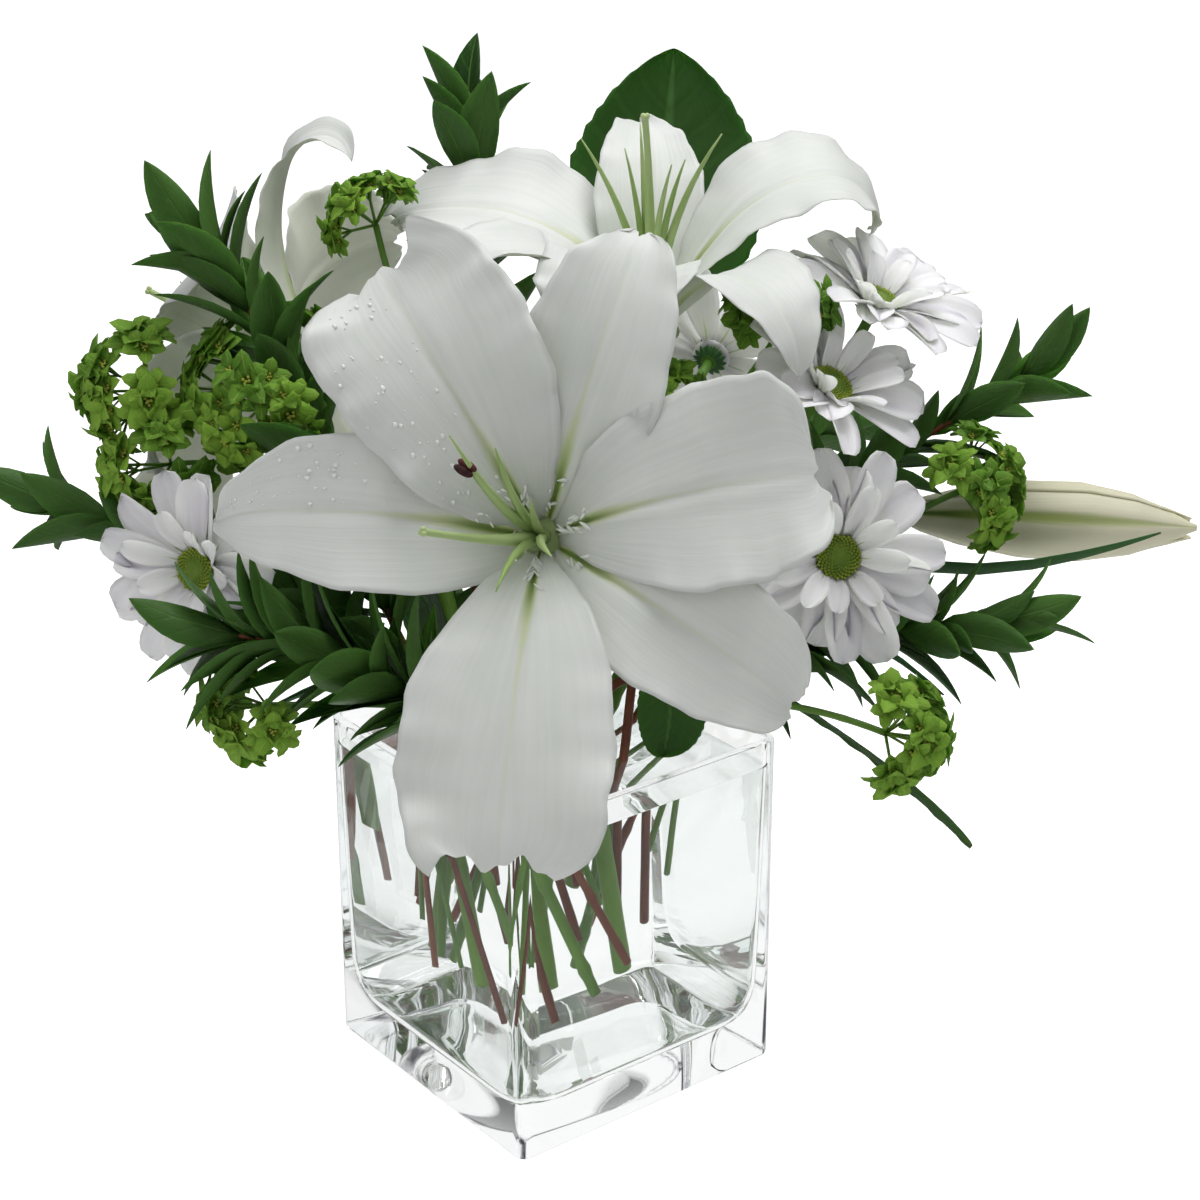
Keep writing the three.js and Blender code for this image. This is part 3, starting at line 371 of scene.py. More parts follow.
def surface(spine, blade, x, s):
    """Points of the blade's middle surface, and its face directions there."""
    reached = s * (1 - blade.get("ragged", lambda x: 0.0)(x) * s**8)
    at, face, side = (read_at(values, reached) for values in spine)
    half = outline_at(s, blade["rise"], blade["fall"]) * blade["width"]
    half = np.where(s < 0.5, np.maximum(half, blade.get("neck", 0)), half)
    half = half * blade.get("edge", lambda x, s: 1.0)(x, s)
    wave = blade.get("ripple", 0) * s * np.sin(blade.get("waves", 0) * 2 * np.pi * s)
    height = blade["bowl"] * np.abs(x) ** 1.5 * half + wave * x * np.abs(x)
    height = height + blade.get("relief", lambda x, s: 0.0)(x, s)
    return at + side * (x * half)[:, None] + face * height[:, None], face


def lay_blade(pile, strip, seat, blade, shade=0.0, material=0):
    """Adds a copy of the strip, its rows closer together towards the tip."""
    x, along, through = strip.points.T
    s = blade.get("tip", 1.0) * (1 - (1 - along) ** 1.5)
    middle, face = surface(spine_of(seat, blade), blade, x, s)
    thick = blade["thick"] * (1 - THINNING * np.maximum(np.abs(x) ** 4, s**6))
    points = middle + face * (thick * (through + 0.5))[:, None]
    pile.add(strip, points, shade, -through, material)


print("widest at", [round(p / (p + q), 2) for p, q in ((0.95, 0.55), (0.75, 0.95))], "of the way")


# %% [markdown]
# ## Which way each leaf was bent
#
# In the solids a leaf that would cross another plant was bent to the next free side. The same
# bends are tried here, and the one that lies on the leaf's own solid is taken.

# %% Find a blade's own solid
FOUND = 1.5  # mm: the first choice that lies this close to the solid is taken
LOST = 4.0  # mm: a blade further than this from its solid isn't there
DRESSING = ("relief", "edge", "curl", "ragged")  # what the solids' plain blades don't have
TRIAL_X = np.array([-0.5, 0.0, 0.5] * 4)
TRIAL_S = np.repeat([0.3, 0.5, 0.7, 0.9], 3)
trees = {}


def tree_of(node):
    if node not in trees:
        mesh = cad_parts[node].data
        points = [v.co for v in mesh.vertices]
        trees[node] = BVHTree.FromPolygons(points, [tuple(f.vertices) for f in mesh.polygons])
    return trees[node]


def distance_to(node, points):
    tree = tree_of(node)
    return max(tree.find_nearest(Vector(point * MM))[3] / MM for point in points)


def find_bend(node, choices):
    """The choice of (seat, blade) that lies on the node's solid, or None."""
    best, least = None, LOST
    for seat, blade in choices:
        plain = {key: blade[key] for key in blade if key not in DRESSING}
        points, _ = surface(spine_of(seat, plain), plain, TRIAL_X, TRIAL_S)
        away = distance_to(node, points)
        if away < FOUND:
            return seat, blade
        if away < least:
            best, least = (seat, blade), away
    return best


print("faces of a solid to search:", len(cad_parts["spray_top"].data.polygons))


# %% [markdown]
# ## Room for more leaves
#
# The solids hold only the main leaves. The real sprays have three times as many, so small ones
# are put between them wherever there is room. A point is free when no other plant's solid, no
# part of the vase and none of the leaves that were added before is close to it. A fixed row of
# points stands for a whole leaf, which is much quicker than testing its mesh.

# %% Find free room
OTHERS_ROOM = 1.2  # mm to the solids of other plants
ADDED_ROOM = 2.0  # mm to the leaves that were added before
BOX_ROOM = np.array((1.0, 1.0, 0.0))  # mm to the sides of the solids' box
OVER_VASE = 134.0  # mm: above this a leaf is clear of the rim
BESIDE_VASE = VASE_SIDE / 2 + 2
LOWEST_LEAF = 74.0
LOW_SIDE = np.array(cad_box[0]) / MM + BOX_ROOM
HIGH_SIDE = np.array(cad_box[1]) / MM - BOX_ROOM
ROOM_X = np.array([-0.9, 0.0, 0.9] * 5)
ROOM_S = np.repeat([0.25, 0.45, 0.65, 0.85, 0.99], 3)
added_points = []


def is_free(node, points):
    heights = points[:, 2]
    if np.any(points < LOW_SIDE) or np.any(points > HIGH_SIDE) or np.any(heights < LOWEST_LEAF):
        return False
    inside = np.max(np.abs(points[:, :2]), axis=1) < BESIDE_VASE
    if np.any(inside & (heights < OVER_VASE)):
        return False
    for placed in added_points:
        if np.min(np.linalg.norm(points[:, None] - placed[None], axis=2)) < ADDED_ROOM:
            return False
    spots = [Vector(point * MM) for point in points]
    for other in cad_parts:
        if other in (node, "vase", "water"):
            continue
        tree = tree_of(other)
        if any(tree.find_nearest(spot, OTHERS_ROOM * MM)[0] is not None for spot in spots):
            return False
    return True


def free_blade(node, choices):
    """The first choice that has room all over, which then takes it."""
    for seat, blade in choices:
        points, _ = surface(spine_of(seat, blade), blade, ROOM_X, ROOM_S)
        if is_free(node, points):
            added_points.append(points)
            return seat, blade
    return None


print("room for leaves, in mm:", LOW_SIDE.round(1), "to", HIGH_SIDE.round(1))


# %% [markdown]
# ## Rods along a curve
#
# Stems, filaments and the rays of an umbel are round rods. A rod's rings follow a list of
# points, and turn with it as little as they can, so that it never looks wrung.

# %% Lay a rod along points
PITH_SHARE = 0.86  # of the stem's radius


def point_on(handles, t):
    """The place on a curve that its four handles give, and the way on from there."""
    a, b, c, d = handles
    at = a * (1 - t) ** 3 + 3 * b * t * (1 - t) ** 2 + 3 * c * t * t * (1 - t) + d * t**3
    way = 3 * (b - a) * (1 - t) ** 2 + 6 * (c - b) * t * (1 - t) + 3 * (d - c) * t * t
    return at, way


def bezier(handles, count):
    return point_on(handles, np.linspace(0, 1, count)[:, None])[0]


def lay_rod(pile, rod, path, radii, shade=0.0, material=0):
    """Radii are given at even steps of the path's length."""
    lengths = np.concatenate(([0], np.cumsum(np.linalg.norm(np.diff(path, axis=0), axis=1))))
    share = lengths / lengths[-1]
    rows = np.unique(np.round(rod.points[:, 2], 5))
    centres = np.stack([np.interp(rows, share, path[:, i]) for i in range(3)], axis=1)
    ways = np.gradient(centres, axis=0)
    ways /= np.linalg.norm(ways, axis=1)[:, None]
    side = unit(np.cross(ways[0], (0.3, 0.5, 0.8)))
    sides = []
    for way in ways:
        side = unit(side - way * np.dot(side, way))
        sides.append(side)
    sides = np.array(sides)
    others = np.cross(ways, sides)
    widths = np.interp(rows, np.linspace(0, 1, len(radii)), radii)
    row = np.searchsorted(rows, np.round(rod.points[:, 2], 5))
    local = rod.points[:, :2] * widths[row][:, None]
    points = centres[row] + local[:, :1] * sides[row] + local[:, 1:] * others[row]
    pile.add(rod, points, shade, None, material)


def lay_cut_end(pile, path, radius, material):
    """The pale pith that shows at a stem's cut end."""
    way = unit(path[1] - path[0])
    end = np.array([path[0] - way * 0.15, path[0] + way * 0.6])
    lay_rod(pile, PITH_ROD, end, (radius * PITH_SHARE, radius * PITH_SHARE), 0.5, material)


def lay_ball(pile, ball, centre, radii, seat, shade=0.0, material=0):
    """A ball stretched along the seat's two cross directions and its axis."""
    ways = np.array([seat["start"], seat["second"], seat["along"]])
    points = centre + (ball.points * np.array(radii)) @ ways
    pile.add(ball, points, shade, None, material)


print("points of a stem and of a hair:", len(STEM_ROD.points), len(HAIR_ROD.points))


# %% [markdown]
# ## Materials
#
# Nothing here is a flat colour. A petal's white has faint grey streaks along it and turns green
# where it joins the throat. A leaf has a pale midrib, side veins and a paler under side. The
# streaks and veins follow each blade, so they read the blade's own UV map: u runs from edge to
# edge and v from root to tip. Effects that several finishes share are node groups.

# %% Node helpers
NUMBER = "NodeSocketFloat"


def new_material(name):
    material = bpy.data.materials.new(name)
    material.use_nodes = True
    return material, material.node_tree.nodes["Principled BSDF"]


def set_shader(shader, **values):
    """Plain values on a shader's own sockets, with _ for each space in a name."""
    for title, value in values.items():
        shader.inputs[title.replace("_", " ")].default_value = value


def add_node(tree, kind, settings=(), **inputs):
    """Adds a node; inputs are numbers, colours or sockets, by the socket's name or place."""
    node = tree.nodes.new(kind)
    for key, value in dict(settings).items():
        setattr(node, key, value)
    for key, value in inputs.items():
        socket = node.inputs[int(key[1:])] if key[0] == "i" and key[1:].isdigit() else None
        socket = socket or node.inputs[key.replace("_", " ")]
        if isinstance(value, bpy.types.NodeSocket):
            tree.links.new(value, socket)
        else:
            socket.default_value = value
    return node


print("materials before the first finish:", len(bpy.data.materials))


# %% Sums and blends
def calculate(tree, operation, a, b=0.0, c=0.0, clamp=False):
    settings = {"operation": operation, "use_clamp": clamp}
    return add_node(tree, "ShaderNodeMath", settings, i0=a, i1=b, i2=c).outputs[0]


def ease(tree, value, low, high):
    """0 below low, 1 above high, and a soft step between."""
    settings = {"interpolation_type": "SMOOTHSTEP"}
    return add_node(
        tree, "ShaderNodeMapRange", settings, Value=value, From_Min=low, From_Max=high
    ).outputs[0]


def fade(tree, value, low, high):
    """1 below low, 0 above high, and a soft step between."""
    return calculate(tree, "SUBTRACT", 1.0, ease(tree, value, low, high))


def blend_colours(tree, factor, a, b):
    settings = {"data_type": "RGBA"}
    return add_node(tree, "ShaderNodeMix", settings, i0=factor, i6=a, i7=b).outputs[2]


def mix_shaders(tree, factor, a, b):
    return add_node(tree, "ShaderNodeMixShader", i0=factor, i1=a, i2=b).outputs[0]


# %% What a pattern reads
def point_value(tree, title):
    """A value that each point of a pile carries: its copy's shade, or under."""
    return add_node(tree, "ShaderNodeAttribute", {"attribute_name": title}).outputs["Fac"]


def noise_over(tree, place, scale, detail):
    return add_node(
        tree, "ShaderNodeTexNoise", Vector=place, Scale=scale, Detail=detail
    ).outputs[0]


def object_place(tree):
    return tree.nodes.new("ShaderNodeTexCoord").outputs["Object"]


# %% Groups, and what a shader gets
def new_group(name, inputs, outputs):
    tree = bpy.data.node_groups.new(name, "ShaderNodeTree")
    for title, kind, value in inputs:
        socket = tree.interface.new_socket(title, in_out="INPUT", socket_type=kind)
        socket.default_value = value
    for title, kind in outputs:
        tree.interface.new_socket(title, in_out="OUTPUT", socket_type=kind)
    start = tree.nodes.new("NodeGroupInput")
    end = tree.nodes.new("NodeGroupOutput")
    return tree, start.outputs, end.inputs


def use_group(tree, group, **inputs):
    return add_node(tree, "ShaderNodeGroup", {"node_tree": group}, **inputs)


def give_skin(tree, shader, colour, height, strength, depth):
    """Links a colour, and a bump that is so many millimetres deep, to the shader."""
    bump = add_node(
        tree, "ShaderNodeBump", Strength=strength, Distance=depth * MM, Height=height
    )
    tree.links.new(colour, shader.inputs["Base Color"])
    tree.links.new(bump.outputs[0], shader.inputs["Normal"])


print("groups before the first effect:", len(bpy.data.node_groups))


# %% [markdown]
# ## Two effects that the finishes share
#
# The streaks fan out from the root to the edges: the noise is read at the distance to the rib,
# less a part of the way along, so its lines bend outwards as a petal's veins do. A blade's own
# shade comes from the pile, with a soft blotch on it, so that no leaf is one colour.

# %% Shared effects
VEIN_FAN = -0.35  # how far the lines lean outwards
SIDE_SHIFT = 7.3  # places in the noise, so that the two halves differ
COPY_SHIFT = 20.0  # and so that two copies differ


def make_blade_streaks():
    """From a blade's UV map: a streak value, the distance to the rib and the way along."""
    inputs = [("Lines", NUMBER, 40.0), ("Length", NUMBER, 3.0), ("Shift", NUMBER, 0.0)]
    outputs = [("Streak", NUMBER), ("From Rib", NUMBER), ("Along", NUMBER)]
    tree, given, result = new_group("blade_streaks", inputs, outputs)
    uv = tree.nodes.new("ShaderNodeUVMap").outputs[0]
    axes = add_node(tree, "ShaderNodeSeparateXYZ", i0=uv).outputs
    centred = calculate(tree, "SUBTRACT", axes[0], 0.5)
    from_rib = calculate(tree, "ABSOLUTE", calculate(tree, "MULTIPLY", centred, 2.0))
    fanned = calculate(tree, "MULTIPLY_ADD", axes[1], VEIN_FAN, from_rib)
    across = calculate(tree, "MULTIPLY", fanned, given["Lines"])
    along = calculate(tree, "MULTIPLY", axes[1], given["Length"])
    own_side = calculate(tree, "MULTIPLY", calculate(tree, "SIGN", centred), SIDE_SHIFT)
    depth = calculate(tree, "MULTIPLY_ADD", given["Shift"], COPY_SHIFT, own_side)
    place = add_node(tree, "ShaderNodeCombineXYZ", i0=across, i1=along, i2=depth)
    tree.links.new(noise_over(tree, place.outputs[0], 1.0, 2.0), result["Streak"])
    tree.links.new(from_rib, result["From Rib"])
    tree.links.new(axes[1], result["Along"])
    return tree


def make_own_shade():
    """Each copy's own shade, with a soft blotch on top."""
    inputs = [("Blotch Scale", NUMBER, 60.0), ("Blotch", NUMBER, 0.5)]
    tree, given, result = new_group("own_shade", inputs, [("Value", NUMBER)])
    noise = noise_over(tree, object_place(tree), given["Blotch Scale"], 2.0)
    centred = calculate(tree, "SUBTRACT", noise, 0.5)
    blotch = calculate(tree, "MULTIPLY", centred, given["Blotch"])
    total = calculate(tree, "ADD", point_value(tree, "shade"), blotch, clamp=True)
    tree.links.new(total, result["Value"])
    return tree


BLADE_STREAKS = make_blade_streaks()
OWN_SHADE = make_own_shade()
print("nodes of the shared effects:", len(BLADE_STREAKS.nodes), len(OWN_SHADE.nodes))

# %% [markdown]
# ## Petals
#
# From the outside in: white mottled with grey, a paler green line along the rib, a green throat
# that narrows on its way up, painted shade that darkens the groove's green at the very root, and a
# green tint on the back.
# Light goes a little way into a petal, which Subsurface gives.


# %% Petals and buds
# how dark the painted shade in the groove's root is, as a share of the throat's green
GROOVE_SHADE_TINT = (0.3, 0.42, 0.3)  # of the throat's green
BACK_TINT = 0.4


def make_petal(name, white, grey, green, reach, lines, softness, depth):
    """White, streaked along, and green in the throat along the rib as far as reach."""
    material, shader = new_material(name)
    tree = material.node_tree
    own = use_group(tree, OWN_SHADE, Blotch_Scale=45.0, Blotch=0.8).outputs[0]
    copy = point_value(tree, "shade")
    streaks = use_group(tree, BLADE_STREAKS, Lines=lines, Length=2.5, Shift=copy).outputs
    streak, from_rib, along = streaks["Streak"], streaks["From Rib"], streaks["Along"]
    mottle = calculate(tree, "MULTIPLY", streak, 0.35)
    mottle = calculate(tree, "ADD", mottle, calculate(tree, "MULTIPLY", own, 0.65))
    colour = blend_colours(tree, ease(tree, mottle, 0.2, 0.8), grey, white)
    # the line along the rib
    pale = blend_colours(tree, 0.5, white, green)
    faded = calculate(tree, "SUBTRACT", 0.6, calculate(tree, "MULTIPLY", along, 0.6))
    rib = calculate(tree, "MULTIPLY", fade(tree, from_rib, 0.0, 0.05), faded, clamp=True)
    colour = blend_colours(tree, rib, colour, pale)
    # the throat
    down = fade(tree, along, 0.02, reach)
    width = calculate(tree, "MULTIPLY_ADD", down, 0.2, 0.03)
    near = fade(tree, calculate(tree, "DIVIDE", from_rib, width), 0.2, 1.0)
    throat = calculate(tree, "MULTIPLY", down, near, clamp=True)
    colour = blend_colours(tree, throat, colour, green)
    # painted shade: the groove turns a darker green at the very root, deep in the throat
    deep = (*(part * tint for part, tint in zip(green, GROOVE_SHADE_TINT)), 1)
    groove = calculate(
        tree, "MULTIPLY", fade(tree, along, 0.1, 0.24), fade(tree, from_rib, 0.03, 0.12)
    )
    colour = blend_colours(tree, calculate(tree, "MULTIPLY", groove, 0.8), colour, deep)
    # the back
    below = calculate(tree, "MULTIPLY", point_value(tree, "under"), BACK_TINT)
    colour = blend_colours(tree, below, colour, pale)
    give_skin(tree, shader, colour, streak, 0.22, 0.8)
    set_shader(
        shader, Roughness=softness, Specular_IOR_Level=0.35, Subsurface_Weight=depth,
        Subsurface_Radius=(0.9, 1.0, 0.75), Subsurface_Scale=3 * MM
    )
    return material


LILY_WHITE = make_petal(
    "lily_white", white=(0.75, 0.765, 0.735, 1), grey=(0.65, 0.68, 0.64, 1),
    green=(0.5, 0.58, 0.2, 1), reach=0.42, lines=17, softness=0.5, depth=0.25
)
DAISY_WHITE = make_petal(
    "daisy_white", white=(1.0, 1.0, 0.99, 1), grey=(0.96, 0.97, 0.96, 1),
    green=(0.78, 0.82, 0.58, 1), reach=0.35, lines=7, softness=0.6, depth=0.8
)
BUD_CREAM = make_petal(
    "bud_cream", white=(0.78, 0.75, 0.56, 1), grey=(0.68, 0.68, 0.44, 1),
    green=(0.27, 0.36, 0.06, 1), reach=1.7, lines=12, softness=0.5, depth=0.25
)
print("nodes of the lilies' finish:", len(LILY_WHITE.node_tree.nodes))


# %% [markdown]
# ## Leaves
#
# Side veins are a wave along the leaf that is read on a slant, so they run out and forwards
# from the rib. They and the rib are also hollows in the bump. The gloss differs from leaf to
# leaf with its shade.

# %% Leaves
VEIN_SLANT = -0.22
VEIN_SHOW = 0.14


def make_leaf(name, dark, light, rib, under, veins, gloss):
    """Dark above with a pale rib and side veins, and paler below."""
    material, shader = new_material(name)
    tree = material.node_tree
    own = use_group(tree, OWN_SHADE, Blotch_Scale=35.0, Blotch=0.7).outputs[0]
    streaks = use_group(tree, BLADE_STREAKS, Lines=14.0, Length=9.0, Shift=own).outputs
    streak, from_rib, along = streaks["Streak"], streaks["From Rib"], streaks["Along"]
    slant = calculate(tree, "MULTIPLY_ADD", from_rib, VEIN_SLANT, along)
    wave = calculate(tree, "SINE", calculate(tree, "MULTIPLY", slant, veins * 2 * math.pi))
    vein = calculate(tree, "MULTIPLY", ease(tree, wave, 0.72, 1.0), VEIN_SHOW)
    middle = fade(tree, from_rib, 0.02, 0.09)
    below = calculate(tree, "MULTIPLY", point_value(tree, "under"), 0.75)
    colour = blend_colours(tree, own, dark, light)
    colour = blend_colours(tree, vein, colour, rib)
    colour = blend_colours(tree, calculate(tree, "MULTIPLY", middle, 0.8), colour, rib)
    colour = blend_colours(tree, below, colour, under)
    hollow = calculate(tree, "MULTIPLY_ADD", vein, -2.0, streak)
    hollow = calculate(tree, "SUBTRACT", hollow, middle)
    give_skin(tree, shader, colour, hollow, 0.5, 0.5)
    dull = calculate(tree, "MULTIPLY_ADD", own, 0.12, gloss)
    tree.links.new(dull, shader.inputs["Roughness"])
    set_shader(
        shader, Specular_IOR_Level=0.16, Subsurface_Weight=0.12,
        Subsurface_Radius=(0.4, 1.0, 0.2), Subsurface_Scale=2 * MM
    )
    return material


SPRAY_GREEN = make_leaf(
    "spray_leaf_green", dark=(0.006, 0.028, 0.004, 1), light=(0.075, 0.2, 0.022, 1),
    rib=(0.1, 0.22, 0.04, 1), under=(0.07, 0.15, 0.035, 1), veins=5, gloss=0.36
)
BROAD_GREEN = make_leaf(
    "broad_leaf_green", dark=(0.018, 0.055, 0.008, 1), light=(0.04, 0.115, 0.018, 1),
    rib=(0.07, 0.16, 0.04, 1), under=(0.06, 0.12, 0.04, 1), veins=7, gloss=0.42
)
LILY_GREEN = make_leaf(
    "lily_leaf_green", dark=(0.012, 0.05, 0.018, 1), light=(0.035, 0.12, 0.035, 1),
    rib=(0.07, 0.18, 0.06, 1), under=(0.06, 0.15, 0.05, 1), veins=2, gloss=0.42
)
UMBEL_LIME = make_leaf(
    "umbel_lime", dark=(0.08, 0.2, 0.02, 1), light=(0.25, 0.45, 0.05, 1),
    rib=(0.34, 0.5, 0.09, 1), under=(0.19, 0.35, 0.05, 1), veins=2, gloss=0.5
)
print("nodes of a leaf's finish:", len(SPRAY_GREEN.node_tree.nodes))

# %% [markdown]
# ## Small round parts
#
# Stems, florets, stamens, hairs and drops are too small or too round for veins. One recipe does
# for all: two tones in soft patches, and a grain finer than a millimetre. Object coordinates
# are enough here, because nothing on these parts follows the surface.

# %% Stems, discs, stamens and drops
GRAIN = 900.0


def make_skin(name, low, high, rough, scale):
    """Two tones in patches, smaller for a larger scale, with a fine grain."""
    material, shader = new_material(name)
    tree = material.node_tree
    own = use_group(tree, OWN_SHADE, Blotch_Scale=scale, Blotch=0.9).outputs[0]
    colour = blend_colours(tree, own, low, high)
    give_skin(tree, shader, colour, noise_over(tree, object_place(tree), GRAIN, 3.0), 0.3, 0.3)
    set_shader(shader, Roughness=rough)
    return material


STEM_GREEN = make_skin("stem_green", (0.03, 0.13, 0.008, 1), (0.22, 0.42, 0.045, 1), 0.45, 30)
STEM_BROWN = make_skin("stem_brown", (0.09, 0.018, 0.006, 1), (0.3, 0.085, 0.022, 1), 0.5, 60)
CUT_PALE = make_skin("cut_pith_pale", (0.35, 0.36, 0.2, 1), (0.6, 0.58, 0.4, 1), 0.7, 200)
THROAT_GREEN = make_skin("throat_green", (0.24, 0.38, 0.09, 1), (0.55, 0.66, 0.33, 1), 0.45, 40)
DEW = make_skin("dew", (0.72, 0.75, 0.73, 1), (0.9, 0.92, 0.9, 1), 0.06, 400)
PAPILLA_WHITE = make_skin("papilla_white", (0.78, 0.82, 0.72, 1), (0.9, 0.92, 0.88, 1), 0.4, 200)
DISC_GREEN = make_skin("disc_green", (0.1, 0.19, 0.012, 1), (0.3, 0.38, 0.03, 1), 0.7, 300)
FLORET_YELLOW = make_skin("floret_yellow", (0.3, 0.38, 0.04, 1), (0.5, 0.52, 0.08, 1), 0.7, 400)
ANTHER_RED = make_skin("anther_red", (0.02, 0.003, 0.003, 1), (0.1, 0.012, 0.01, 1), 0.85, 500)
print("finishes so far:", len(bpy.data.materials))

# %% [markdown]
# ## Glass and water
#
# Both bend light, so both are whole closed forms. The water reaches a hair into the glass, which
# gives the same bend as real water against glass. Light that only casts a shadow passes
# straight through: without that the flowers would darken everything behind the vase. A slow
# bump makes the walls a little uneven, as pressed glass is, and a darker Specular Tint keeps
# the walls from mirroring one another until the stems can't be seen.

# %% Clear finishes
SHADOW_TINT = (0.97, 0.98, 0.98, 1)


def make_clear(name, colour, ior, unevenness):
    material, shader = new_material(name)
    tree = material.node_tree
    set_shader(
        shader, Base_Color=colour, Roughness=0.0, Transmission_Weight=1.0, IOR=ior,
        Specular_Tint=(0.4, 0.4, 0.42, 1)
    )
    waves = noise_over(tree, object_place(tree), unevenness, 1.0)
    bump = add_node(tree, "ShaderNodeBump", Strength=0.06, Distance=2 * MM, Height=waves)
    tree.links.new(bump.outputs[0], shader.inputs["Normal"])
    shadow = tree.nodes.new("ShaderNodeLightPath").outputs["Is Shadow Ray"]
    clear = add_node(tree, "ShaderNodeBsdfTransparent", Color=SHADOW_TINT)
    mixed = mix_shaders(tree, shadow, shader.outputs[0], clear.outputs[0])
    tree.links.new(mixed, tree.nodes["Material Output"].inputs["Surface"])
    return material


GLASS = make_clear("vase_glass", (0.985, 0.995, 0.99, 1), 1.5, 12.0)
WATER = make_clear("vase_water", (0.99, 1.0, 1.0, 1), 1.33, 20.0)
print("finishes in all:", len(bpy.data.materials))

# %% [markdown]
# ## The vase
#
# Thick pressed glass: a square block with rounded upright edges and a deep hollow whose floor
# is dished. It starts as a cube. Its upright edges are bevelled, the top face is inset by the
# wall's thickness, and that face is extruded down step by step. Each step's ring is then set
# on a rounded square, because the hollow's corners grow rounder towards the floor.

# %% The vase's sizes
VASE_HEIGHT = 130.0
WALL = 3.2
CORNER_RADIUS = 5.0
CORNER_SEGMENTS = 8
EDGE_ROUNDING = 0.9
WATER_LEVEL = 119.0
WATER_CORNER = 4.0
WATER_REACH = 0.25  # into the glass
# the hollow from the rim down: [wall added, corner radius, height]
HOLLOW = [
    [0, 4, 124],
    [0.4, 4.5, 100],
    [0.9, 5, 70],
    [1.8, 6, 31],
    [2.6, 7.5, 25],
    [3.6, 9.5, 20.5],
    [5.2, 12, 17.8],
    [8, 15, 16.2],
    [15, 22, 15],
]


def rounded_square(half, corner, count):
    """Points of a square with round corners, anticlockwise from the middle of the +X side."""
    points = []
    for quarter in range(4):
        for step in range(count + 1):
            angle = math.pi / 2 * (quarter + step / count)
            sign_x = (1, -1, -1, 1)[quarter]
            sign_y = (1, 1, -1, -1)[quarter]
            x = sign_x * (half - corner) + corner * math.cos(angle)
            points.append((x, sign_y * (half - corner) + corner * math.sin(angle)))
    return points


def ring_to_square(verts, half, corner, z):
    """Sets a ring of vertices on a rounded square, in the order of their turns."""
    ordered = sorted(verts, key=lambda v: math.atan2(v.co.y, v.co.x))
    goals = rounded_square(half, corner, CORNER_SEGMENTS)
    goals = sorted(goals, key=lambda p: math.atan2(p[1], p[0]))
    for vert, (x, y) in zip(ordered, goals):
        vert.co = (x * MM, y * MM, z * MM)


print("steps of the hollow:", len(HOLLOW), "- points in each:", 4 * (CORNER_SEGMENTS + 1))


# %% A block to start from
def block(width, height):
    """A cube of this width and height on the floor, its upright edges rounded."""
    begin()
    bpy.ops.mesh.primitive_cube_add(size=1, location=(0, 0, 0))
    bpy.ops.object.mode_set(mode="EDIT")
    bpy.ops.transform.resize(value=(width * MM, width * MM, height * MM))
    bpy.ops.transform.translate(value=(0, 0, height / 2 * MM))
    bpy.ops.mesh.select_mode(type="EDGE")
    bpy.ops.mesh.select_all(action="DESELECT")
    thing = bpy.context.object
    form = bmesh.from_edit_mesh(thing.data)
    for edge in form.edges:
        a, b = edge.verts
        if abs(a.co.z - b.co.z) > height / 2 * MM:
            edge.select_set(True)
    bmesh.update_edit_mesh(thing.data)
    bpy.ops.mesh.bevel(
        offset=CORNER_RADIUS * MM, offset_type="OFFSET", segments=CORNER_SEGMENTS, affect="EDGES"
    )
    return thing


def select_cap(thing, pick):
    """Selects the one flat face at the top (pick is max) or at the bottom (min)."""
    form = bmesh.from_edit_mesh(thing.data)
    for face in form.faces:
        face.select_set(False)
    flat = [face for face in form.faces if abs(face.normal.z) > 0.9]
    cap = pick(flat, key=lambda face: face.calc_center_median().z)
    form.select_flush_mode()
    cap.select_set(True)
    form.faces.active = cap
    bmesh.update_edit_mesh(thing.data)
    return form


def extrude_hollow(thing, steps, grown):
    """Extrudes the selected face step by step, and sets each new ring on the hollow's wall."""
    for added, corner, height in steps:
        bpy.ops.mesh.extrude_region_move(TRANSFORM_OT_translate={"value": (0, 0, -1 * MM)})
        form = bmesh.from_edit_mesh(thing.data)
        ring = [v for v in form.verts if v.select]
        ring_to_square(ring, VASE_SIDE / 2 - WALL - added + grown, corner, height - grown)
        bmesh.update_edit_mesh(thing.data)


def smooth_clear(thing, material):
    bpy.ops.object.shade_smooth_by_angle(angle=math.radians(40))
    thing.data.materials.append(material)
    print(thing.name, "is a form of", volume_of(thing), "millilitres")


# %% Model the vase
def model_vase():
    thing = block(VASE_SIDE, VASE_HEIGHT)
    thing.name = "glass_vase"
    select_cap(thing, max)
    bpy.ops.mesh.inset(thickness=WALL * MM)
    extrude_hollow(thing, HOLLOW, 0)
    bpy.ops.object.mode_set(mode="OBJECT")
    edges = thing.modifiers.new("edges", "BEVEL")
    edges.width = EDGE_ROUNDING * MM
    edges.segments = 3
    edges.limit_method = "ANGLE"
    edges.angle_limit = math.radians(50)
    bpy.ops.object.modifier_apply(modifier="edges")
    smooth_clear(thing, GLASS)
    return thing


glass_vase = model_vase()


# %% [markdown]
# ## The water
#
# The water fills the same hollow, a hair into the glass all round, and has a flat top. It is
# modelled from outside: a block whose upper and lower rings are set on the hollow's wall, and
# whose bottom face is then extruded down through the hollow's other steps.

